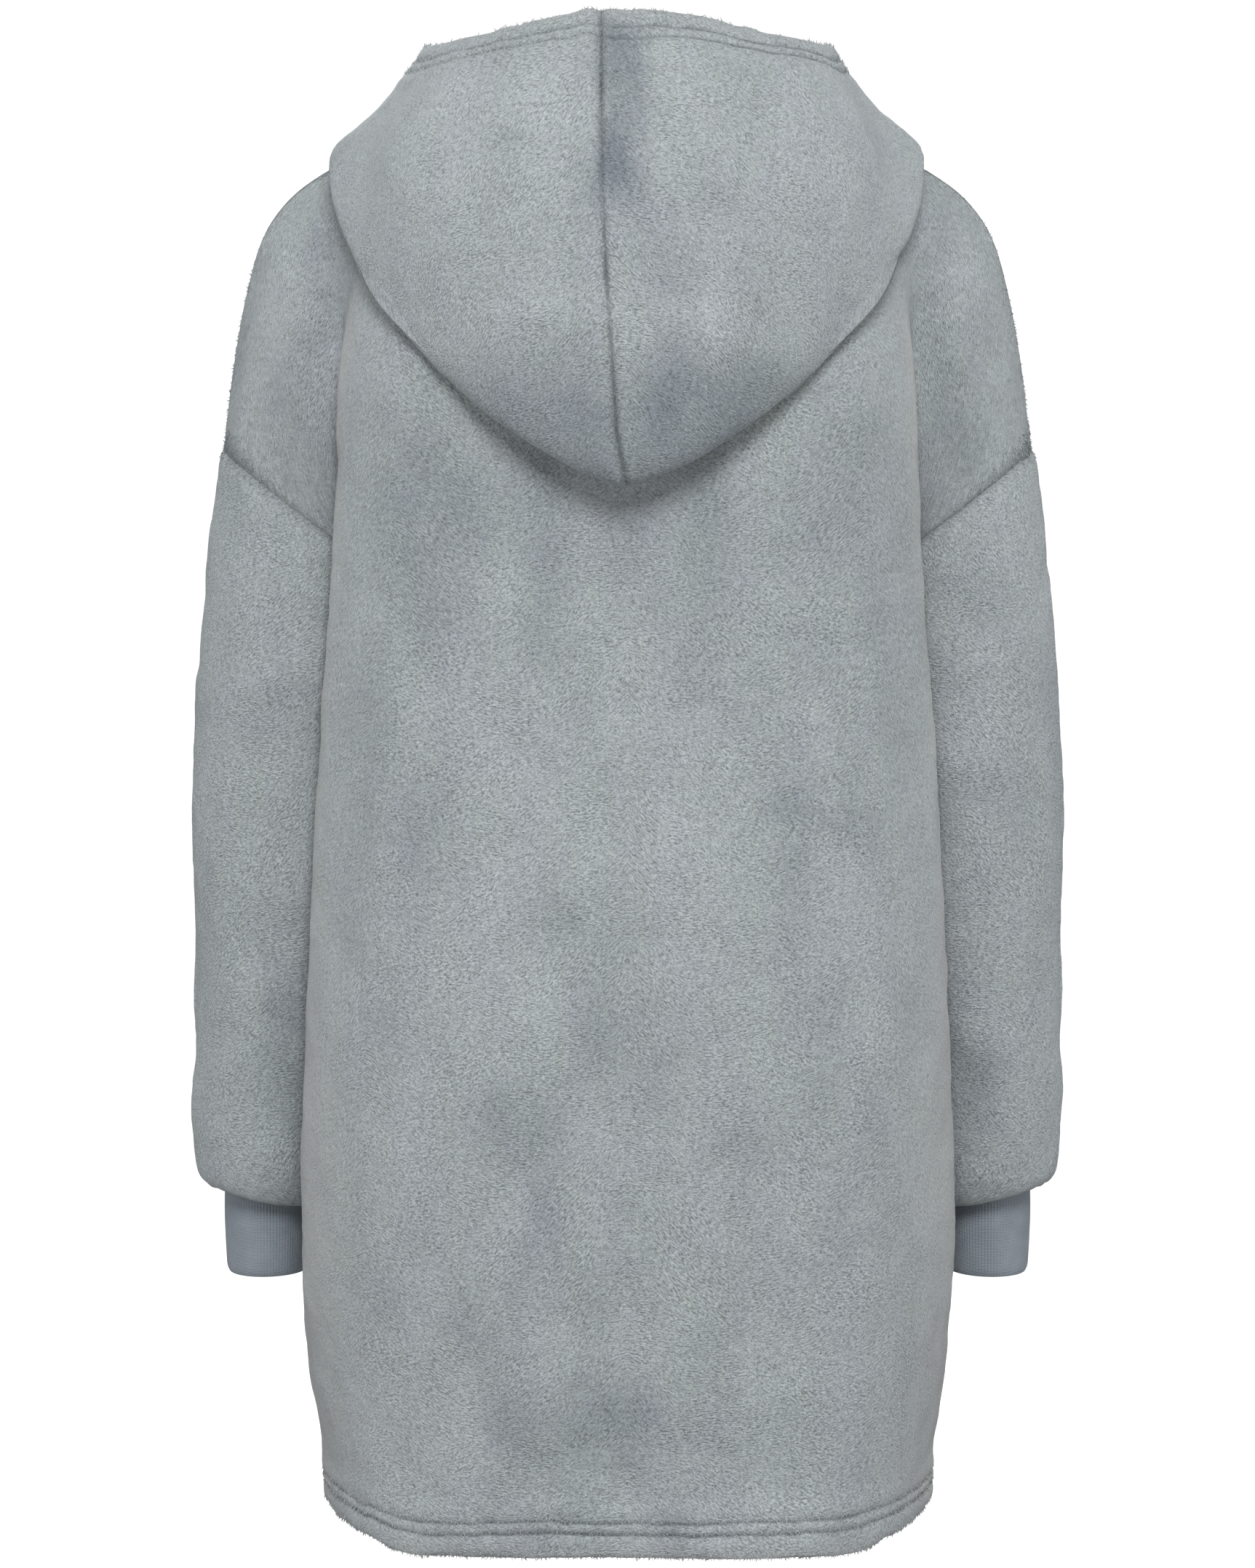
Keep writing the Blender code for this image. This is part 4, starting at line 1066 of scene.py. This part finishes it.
class Finish(Nodes):
    """A material under construction."""

    def __init__(self, name):
        self.material = bpy.data.materials.new(name)
        self.material.use_nodes = True
        super().__init__(self.material.node_tree)
        self.shader = self.tree.nodes["Principled BSDF"]

    def noise(self, vector, scale, detail, roughness=0.5):
        sizes = {"Vector": vector, "Scale": scale, "Detail": detail, "Roughness": roughness}
        return self.add("ShaderNodeTexNoise", sizes).outputs["Fac"]

    def spread(self, value, low, high, to_low=0.0, to_high=1.0):
        ends = {"Value": value, "From Min": low, "From Max": high, "To Min": to_low, "To Max": to_high}
        return self.add("ShaderNodeMapRange", ends).outputs["Result"]

    def blend(self, share, one, two, mode="MIX"):
        mixing = {0: share, 6: one, 7: two}
        return self.add("ShaderNodeMix", mixing, data_type="RGBA", blend_type=mode).outputs[2]

    def mix_values(self, share, one, two):
        return self.add("ShaderNodeMix", {0: share, 2: one, 3: two}, data_type="FLOAT").outputs[0]

    def sum(self, one, two, share):
        """The first value, plus the share of the second."""
        return self.add("ShaderNodeMath", {0: two, 1: share, 2: one}, operation="MULTIPLY_ADD").outputs[0]

    def shaded(self, colour, amount):
        """The colour, darker where the amount is under one and paler where it is over."""
        grey = self.add("ShaderNodeCombineColor", {"Red": amount, "Green": amount, "Blue": amount})
        return self.blend(1.0, colour, grey.outputs[0], "MULTIPLY")

    def mark(self, name):
        return self.add("ShaderNodeAttribute", attribute_name=name).outputs["Fac"]

    def place(self):
        return self.add("ShaderNodeTexCoord").outputs["Object"]

    def cloth_place(self):
        return self.add("ShaderNodeUVMap", uv_map="cloth").outputs["UV"]

    def set(self, **values):
        for key, value in values.items():
            self.put(self.shader.inputs[key.replace("_", " ")], value)


def strokes(finish, flat, turn, along, across):
    """Short strokes of brushed pile on the cloth's own lengths, leaning by a turn in degrees."""
    leaning = {"Vector": flat, "Rotation": (0, 0, radians(turn)), "Scale": (along, across, 1)}
    mapped = finish.add("ShaderNodeMapping", leaning, vector_type="TEXTURE").outputs["Vector"]
    return finish.noise(mapped, 1.0, 2.0, 0.6)


def mottled(finish, place):
    """The fleece's two greys, in tall soft streaks with finer flecks between them."""
    tall = finish.add("ShaderNodeMapping", {"Vector": place, "Scale": (26, 26, 9)}).outputs["Vector"]
    streaks = finish.noise(tall, 1, 3, 0.55)
    flecks = finish.noise(place, 75, 2, 0.6)
    share = finish.spread(finish.sum(streaks, flecks, 0.45), 0.60, 0.85)
    return finish.blend(share, LILAC_GREY, GREEN_GREY)


def pile_colour(finish, place):
    """The two greys of the fleece, darker and paler by the nap mark, which holds turned nap, painted shade
    and painted light, and paler at edges that are worn and painted as lit.
    """
    colour = mottled(finish, place)
    nap = finish.mark("nap")
    colour = finish.blend(finish.spread(nap, 0.0, -1.0), colour, DARK_NAP_AND_PAINTED_SHADE)
    colour = finish.blend(finish.spread(nap, 0.0, 1.0), colour, PALE_NAP_AND_PAINTED_LIGHT)
    return finish.blend(finish.mark("edge"), colour, WORN_EDGE_AND_PAINTED_LIGHT)


def fleece_finish():
    """Short-pile flannel fleece: brushed strokes, patches of turned nap and of painted light and shade,
    and a soft sheen.
    """
    finish = Finish("fleece")
    place, flat = finish.place(), finish.cloth_place()
    leaning, level = (strokes(finish, flat, *stroke) for stroke in STROKES)
    turned = finish.spread(finish.noise(place, 24, 3, 0.55), 0.42, 0.58)
    clumps = finish.noise(place, CLUMPS, 2, 0.6)
    pile = finish.sum(finish.mix_values(turned, leaning, level), clumps, 0.25)
    pile = finish.sum(pile, finish.noise(place, FIBRES, 2, 0.6), 0.50)

    grain = finish.mix_values(finish.mark("edge"), finish.spread(pile, 0.64, 1.11, 0.50, 1.48), 1.0)
    colour = finish.shaded(pile_colour(finish, place), grain)
    ragged = finish.sum(finish.mark("pressed"), finish.sum(level, clumps, 0.8), 1.1)
    colour = finish.blend(finish.spread(ragged, 1.24, 1.85, 0.0, 0.80), colour, PRESSED_PILE)
    bump = finish.add("ShaderNodeBump", {"Height": pile, "Strength": 0.75, "Distance": 0.0018})
    finish.set(Base_Color=colour, Roughness=0.92, Normal=bump.outputs[0], Specular_IOR_Level=0.12)
    finish.set(Sheen_Weight=0.35, Sheen_Roughness=0.45, Sheen_Tint=(0.80, 0.86, 0.90, 1))
    return finish.material


def lock_finish():
    """The longer locks of pile at seams and edges, in the fleece's colours, with its painted light and
    shade.
    """
    finish = Finish("fleece_locks")
    place = finish.place()
    uneven = finish.spread(finish.noise(place, 700, 2, 0.6), 0.35, 0.65, 0.72, 1.15)
    colour = finish.shaded(pile_colour(finish, place), uneven)
    finish.set(Base_Color=colour, Roughness=0.95, Specular_IOR_Level=0.12)
    finish.set(Sheen_Weight=0.35, Sheen_Roughness=0.45)
    return finish.material


def thread_finish():
    """Spun sewing thread, sunk in the pile."""
    finish = Finish("thread")
    twist = finish.spread(finish.noise(finish.place(), 1600, 2, 0.6), 0.35, 0.65, 0.7, 1.2)
    finish.set(Base_Color=finish.shaded(THREAD_COLOUR, twist), Roughness=0.75)
    return finish.material


def knit_finish():
    """Rib knit: the fine rows of loops on each rib."""
    finish = Finish("rib_knit")
    place = finish.place()
    waves = {"Vector": finish.cloth_place(), "Scale": 320.0, "Distortion": 1.2}
    waves |= {"Detail": 1.0, "Detail Scale": 2.0}
    rows = finish.add("ShaderNodeTexWave", waves, bands_direction="Y").outputs["Fac"]
    loops = finish.sum(rows, finish.noise(place, 1300, 2, 0.6), 0.8)
    uneven = finish.spread(finish.noise(place, 60, 2), 0.35, 0.65)
    colour = finish.blend(uneven, *KNIT_COLOURS)
    colour = finish.shaded(colour, finish.spread(loops, 0.2, 1.4, 0.80, 1.12))
    bump = finish.add("ShaderNodeBump", {"Height": loops, "Strength": 0.5, "Distance": 0.0005})
    finish.set(Base_Color=colour, Roughness=0.88, Normal=bump.outputs[0], Specular_IOR_Level=0.15)
    finish.set(Sheen_Weight=0.15, Sheen_Roughness=0.5)
    return finish.material


class Sewing:
    """The locks of pile and the stitches that go on each piece of cloth."""

    def __init__(self):
        self.trees = {kind: points_tree(kind) for kind in ("lock", "stitch")}
        self.finishes = {"lock": lock_finish(), "stitch": thread_finish()}
        self.made = {}

    def locks(self, node, grid, normals, weight, marks):
        kept = {key: marks[key] for key in ("nap", "edge")}
        places, leans, found = scattered(grid, normals, weight, kept, len(self.made) + 40)
        self.add(node, "lock", places, leans, found, (LOCK_LENGTH, LOCK_THICK))

    def stitches(self, node, outer, distance, lines):
        runs = [stitches_along(outer, distance, line) for line in lines]
        places, leans = (np.concatenate(parts) for parts in zip(*runs))
        self.add(node, "stitch", places, leans, {}, (STITCH_LENGTH, STITCH_THICK))

    def add(self, node, kind, places, leans, marks, sizes):
        name = f"{'pile' if kind == 'lock' else 'stitching'}_{node}"
        shapes = set_on_points(name, self.trees[kind], places, leans, marks, sizes, self.finishes[kind])
        self.made.setdefault(node, []).append(shapes)


def hanging_hem(base, from_hem, back):
    """The panel with its hem hanging a little unevenly, and fuller at the back's corners."""
    drop = 0.0012 * soft_noise(base, 0.055, 31)
    if back:
        drop += 0.0030 * (trough(base[..., 0] - 0.125, 0.030) + trough(base[..., 0] + 0.125, 0.030))
    hung = base.copy()
    hung[..., 2] -= drop * np.exp(-((from_hem / 0.05) ** 2))
    return hung


def beside_stitches(weight, stitched, lines):
    """The weight for the locks of pile, with more of them just above each line of stitching."""
    for line in lines:
        weight = weight + 0.8 * trough(stitched - line - 0.0010, 0.0012)
    return weight


def panel_piece(node, base, normals, finish, sewing):
    """The back or the front: seams at its sides, stitching at its hem, creases and lumps."""
    from_hem = lengths_back(base)
    base = hanging_hem(base, from_hem, node == "back_panel")
    across = lengths_across(base)
    from_side = np.minimum(across, across[:, -1:] - across)
    from_top = lengths_of(base)
    from_edge = np.minimum(from_hem, from_top)
    from_top[:, np.abs(base[0, :, 0]) < NECK_HALF] += NECK_NO_SEAM
    from_seam = np.minimum(from_side, from_top)
    relief, pressed = stitched_edge(from_hem, base, HEM_LINES)
    relief = relief + pile_lumps(base) * np.clip(from_edge / EDGE_SMOOTH, 0, 1)
    relief -= SEAM_DEPTH * trough(from_seam, SEAM_WIDTH) + shoulder_ease(base)
    pressed = np.maximum(pressed, SEAM_PRESSED * trough(from_seam, SEAM_PRESSED_WIDTH))
    # Paler cloth: wear at the hem, and painted light along the back's folds.
    wear_and_painted_light = 0.5 * np.exp(-from_hem / EDGE_WEAR)
    if node == "back_panel":
        relief += fold_rise(base, normals, CREASES)
        wear_and_painted_light = np.maximum(wear_and_painted_light, fold_wear_and_painted_light(base, across))
    marks = {"pressed": pressed, "nap": nap_of(base, NAP_AND_PAINTED_LIGHT_PATCHES), "edge": wear_and_painted_light}
    outer, inner = both_sides(base, normals, relief, side_laps(base))
    inner += normals * rounded(from_hem)[..., None]
    weight = 0.6 * np.exp(-from_hem / EDGE_LOCKS) + 0.4 * trough(from_seam, SEAM_LOCKS)
    stitched = wandering(from_hem, base)
    sewing.locks(node, outer, normals, beside_stitches(weight, stitched, HEM_LINES), marks)
    sewing.stitches(node, outer, stitched, HEM_LINES)
    return cloth_shell(f"fleece_{node}", outer, inner, False, marks, finish)


def shoulder_ease(base):
    """How far the cloth over the shoulders and upper arms is drawn in."""
    aside = np.clip((np.abs(base[..., 0]) - 0.15) / 0.03, 0, 1)
    return 0.0010 * aside * np.clip((base[..., 2] + 0.20) / 0.06, 0, 1)


def fold_wear_and_painted_light(base, across):
    """Where the back is painted paler along the body's folds, wider towards the hem: partly nap rubbed
    flat, partly painted light on the sides that turn away.
    """
    centre, to_fold = base.shape[1] // 2, sum(ACROSS_STEPS[:3])
    low = np.clip((-0.45 - base[..., 2]) / 0.2, 0, 1)
    wear = np.zeros(across.shape)
    for column in (centre - to_fold, centre + to_fold):
        aside = across - across[:, column : column + 1]
        wear += 0.70 * trough(aside, 0.014 + 0.042 * low) * (1 - 0.15 * low)
    return wear * np.clip((-0.10 - base[..., 2]) / 0.05, 0, 1)


def sleeve_piece(side, sleeve, normals, beside, finish, sewing):
    """One sleeve: the armhole seam at its top, and its fullness gathered on to the cuff."""
    mirrored = side == "right"
    grid = sleeve + normals * sleeve_rise(sleeve, mirrored)[..., None]
    grid = laid_on(grid, beside, SLEEVE_GAP, True)
    from_top, from_cuff = lengths_of(grid), lengths_back(grid)
    place = grid * MIRROR + (0.3, 0.2, 0.1) if mirrored else grid
    turns = np.linspace(0, 2 * pi, grid.shape[1], endpoint=False)
    gathers = GATHER_RISE * np.sin(turns * CUFF_GATHERS + 2 * np.sin(turns * 3))
    gathers = gathers * np.exp(-((from_cuff / 0.014) ** 2))
    relief = pile_lumps(place) * np.clip(from_cuff / 0.008, 0, 1) + gathers
    relief += 0.0007 * trough(from_top - 0.010, 0.007) - SEAM_DEPTH * trough(from_top, SEAM_WIDTH)
    pressed = SEAM_PRESSED * trough(from_top, SEAM_PRESSED_WIDTH)
    pressed = np.maximum(pressed, 0.5 * trough(from_cuff, 0.002))
    weight = 0.5 * trough(from_top, SEAM_LOCKS) + 0.4 * trough(from_cuff - 0.001, 0.002)
    outer, inner = both_sides(grid, normals, relief, pull_back(grid, "top", -SEAM_LAP))
    if mirrored:
        outer, inner, normals = (mirror_image(points) for points in (outer, inner, normals))
        pressed, weight = pressed[:, ::-1], weight[:, ::-1]
    marks = {"pressed": pressed, "nap": nap_of(outer, NAP_AND_PAINTED_LIGHT_PATCHES), "edge": np.zeros(pressed.shape)}
    sewing.locks(f"sleeve_{side}", outer, normals, weight, marks)
    return cloth_shell(f"fleece_sleeve_{side}", outer, inner, True, marks, finish)


def cuff_piece(side, finish):
    """One cuff of rib knit."""
    outer, inner = cuff_grid(False), cuff_grid(True)
    if side == "right":
        outer, inner = mirror_image(outer), mirror_image(inner)
    return cloth_shell(f"rib_cuff_{side}", outer, inner, True, {}, finish)


def hood_relief(side, grid, from_seam, from_rim, from_fold):
    """The relief and the pressed look of half the hood: its rim, its open seam and its fold."""
    relief, pressed = stitched_edge(from_rim, grid, RIM_LINES)
    relief = relief + pile_lumps(grid + (0.7, 0, 0)) * np.clip(from_rim / EDGE_SMOOTH, 0, 1)
    open_seam = np.clip(from_fold / 0.022 - 0.15, 0, 1)
    drawn = 0.7 + 0.5 * soft_noise(grid, 0.022, 14)
    relief -= HOOD_SEAM_DEPTH * trough(from_seam, 0.0020) * open_seam * drawn
    relief += HOOD_TIP_RISE * np.exp(-from_seam / 0.010) * trough(from_fold, 0.010)
    if side == "left":
        relief += 0.0022 * trough(from_seam - 0.0085, 0.0060)
    else:
        high = trough(grid[..., 2] + 0.010, 0.060)
        relief -= 0.0035 * trough(from_seam - 0.014, 0.012) * high
    pressed *= 1 - 0.65 * trough(grid[..., 0] - 0.004, 0.026)
    return relief, np.maximum(pressed, 0.90 * trough(from_seam, 0.0012) * open_seam * drawn)


def hood_half(side, grid, normals, finish, sewing):
    """One half of the hood: the leaning centre seam, the stitched rim and the rolled fold."""
    across, from_rim = lengths_across(grid), lengths_back(grid)
    from_seam = across if side == "left" else across[:, -1:] - across
    from_fold = np.abs(from_rim - from_rim[fold_row()])
    rolled = trough(from_fold - 0.002, 0.0075)
    relief, pressed = hood_relief(side, grid, from_seam, from_rim, from_fold)
    # The hood's cloth is painted darker low down and a little paler higher up: painted shade and painted
    # light from above.
    low, high = HOOD_PAINTED_SHADE_RANGE
    nap = nap_of(grid, HOOD_NAP_AND_PAINTED_LIGHT_PATCHES)
    nap += HOOD_PAINTED_SHADE_SLOPE * np.clip((grid[..., 2] - HOOD_PAINTED_SHADE_Z) / 0.03, low, high)
    # The rolled fold is painted paler, partly smooth nap and partly painted light where its fuzz would
    # catch the lamps; the rim is worn paler.
    wear_and_painted_light = np.maximum(0.9 * rolled, 0.5 * np.exp(-from_rim / EDGE_WEAR))
    marks = {"pressed": pressed, "nap": nap, "edge": wear_and_painted_light}
    moves = side_laps(grid) + pull_back(grid, "top", -NECK_LAP)
    outer, inner = both_sides(grid, normals, relief, moves)
    inner += normals * rounded(from_rim)[..., None]
    weight = 0.25 * np.exp(-from_rim / EDGE_LOCKS) + 0.4 * trough(from_seam, SEAM_LOCKS) + 0.20 * rolled
    stitched = wandering(from_rim, grid)
    sewing.locks(f"hood_{side}", outer, normals, beside_stitches(weight, stitched, RIM_LINES), marks)
    sewing.stitches(f"hood_{side}", outer, stitched, RIM_LINES)
    return cloth_shell(f"fleece_hood_{side}", outer, inner, False, marks, finish)


def hood_pieces(hood, finish, sewing):
    """Both halves of the hood, by side."""
    halves = {"left": lean_seam(hood, 1), "right": mirror_image(lean_seam(hood, -1))}
    normals = shared_normals({side: (grid, False) for side, grid in halves.items()})
    return {side: hood_half(side, grid, normals[side], finish, sewing) for side, grid in halves.items()}


def area_light(name, place, aim, size, power):
    """A round soft lamp that points at a place."""
    light = bpy.data.lights.new(name, "AREA")
    light.shape, light.size, light.energy = "DISK", size, power
    made = bpy.data.objects.new(name, light)
    made.location = place
    made.rotation_euler = (Vector(aim) - Vector(place)).to_track_quat("-Z", "Y").to_euler()
    bpy.context.scene.collection.objects.link(made)


def white_world():
    """An even world that is seen as white and lights the cloth more softly than that."""
    world = bpy.data.worlds.new("studio")
    world.use_nodes = True
    nodes = Nodes(world.node_tree)
    lights = nodes.tree.nodes["Background"]
    nodes.put(lights.inputs["Color"], (1, 1, 1, 1))
    nodes.put(lights.inputs["Strength"], WORLD_LIGHT)
    seen = nodes.add("ShaderNodeBackground", {"Color": (1, 1, 1, 1), "Strength": WORLD_SEEN})
    by_camera = nodes.add("ShaderNodeLightPath").outputs["Is Camera Ray"]
    mixing = {0: by_camera, 1: lights.outputs[0], 2: seen.outputs[0]}
    mixed = nodes.add("ShaderNodeMixShader", mixing)
    nodes.put(nodes.tree.nodes["World Output"].inputs["Surface"], mixed.outputs[0])
    return world


def pale_floor():
    """A plain floor far below that throws no light back on the cloth."""
    mesh = bpy.data.meshes.new("floor")
    half = FLOOR_HALF
    corners = [(-half, -half, FLOOR_Z), (half, -half, FLOOR_Z)]
    corners += [(half, half, FLOOR_Z), (-half, half, FLOOR_Z)]
    mesh.from_pydata(corners, [], [(0, 1, 2, 3)])
    pale = Finish("pale_floor")
    pale.set(Base_Color=(0.96, 0.96, 0.96, 1), Roughness=0.9)
    mesh.materials.append(pale.material)
    floor = bpy.data.objects.new("floor", mesh)
    bpy.context.scene.collection.objects.link(floor)
    floor.visible_diffuse = False
    return floor


def floor_light(floor):
    """A wide lamp straight above that keeps the floor white and lights nothing else."""
    light = bpy.data.lights.new("floor_lamp", "SUN")
    light.energy, light.angle = FLOOR_LIGHT, radians(40)
    made = bpy.data.objects.new("floor_lamp", light)
    bpy.context.scene.collection.objects.link(made)
    lit = bpy.data.collections.new("lit_floor")
    lit.objects.link(floor)
    made.light_linking.receiver_collection = lit


def studio():
    """A white studio: the floor, an even world, soft lamps all round and the camera."""
    scene = bpy.context.scene
    scene.view_settings.view_transform = "Standard"
    scene.world = white_world()
    floor = pale_floor()
    for name, place, height, size, power in LAMPS:
        area_light(name, place, (0, 0, height), size, power)
    floor_light(floor)
    camera = bpy.data.cameras.new("camera")
    camera.lens = CAMERA_LENS
    made = bpy.data.objects.new("camera", camera)
    made.location = (0, CAMERA_Y, CAMERA_Z)
    made.rotation_euler = (radians(90 - CAMERA_TILT), 0, pi)
    scene.collection.objects.link(made)
    scene.camera = made


def garment(fleece, knit, sewing):
    """Every piece of cloth, by the node that it stands for."""
    back, front = whole(half_panel(True))[:, ::-1], whole(half_panel(False))
    sleeve = sleeve_grid()
    shared = {"back_panel": (back, False), "front_panel": (front, False), "sleeve": (sleeve, True)}
    normals = shared_normals(shared)
    bases, pieces = {}, {}
    for node, grid in (("back_panel", back), ("front_panel", front)):
        bases[node] = grid + normals[node] * fold_rise(grid, normals[node], FOLDS)[..., None]
        pieces[node] = panel_piece(node, bases[node], normals[node], fleece, sewing)
    beside = tree_of([grid[sum(YOKE_STEPS) - ARMPIT_ROWS :] for grid in bases.values()])
    for side in ("left", "right"):
        pieces[f"sleeve_{side}"] = sleeve_piece(side, sleeve, normals["sleeve"], beside, fleece, sewing)
        pieces[f"cuff_{side}"] = cuff_piece(side, knit)
    hood = laid_on(hood_grid(), tree_of(bases.values()), LAY_GAP, False)
    for side, made in hood_pieces(hood, fleece, sewing).items():
        pieces[f"hood_{side}"] = made
    return pieces


def main():
    fleece, knit, sewing = fleece_finish(), knit_finish(), Sewing()
    pieces = garment(fleece, knit, sewing)
    for node, piece in pieces.items():
        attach(piece, "root")
        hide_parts(node)
    for node, (flat, area, held, rests_on) in CUT.items():
        added = sewing.made.get(node, [])
        for shapes in added:
            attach(shapes, "root")
    studio()


main()
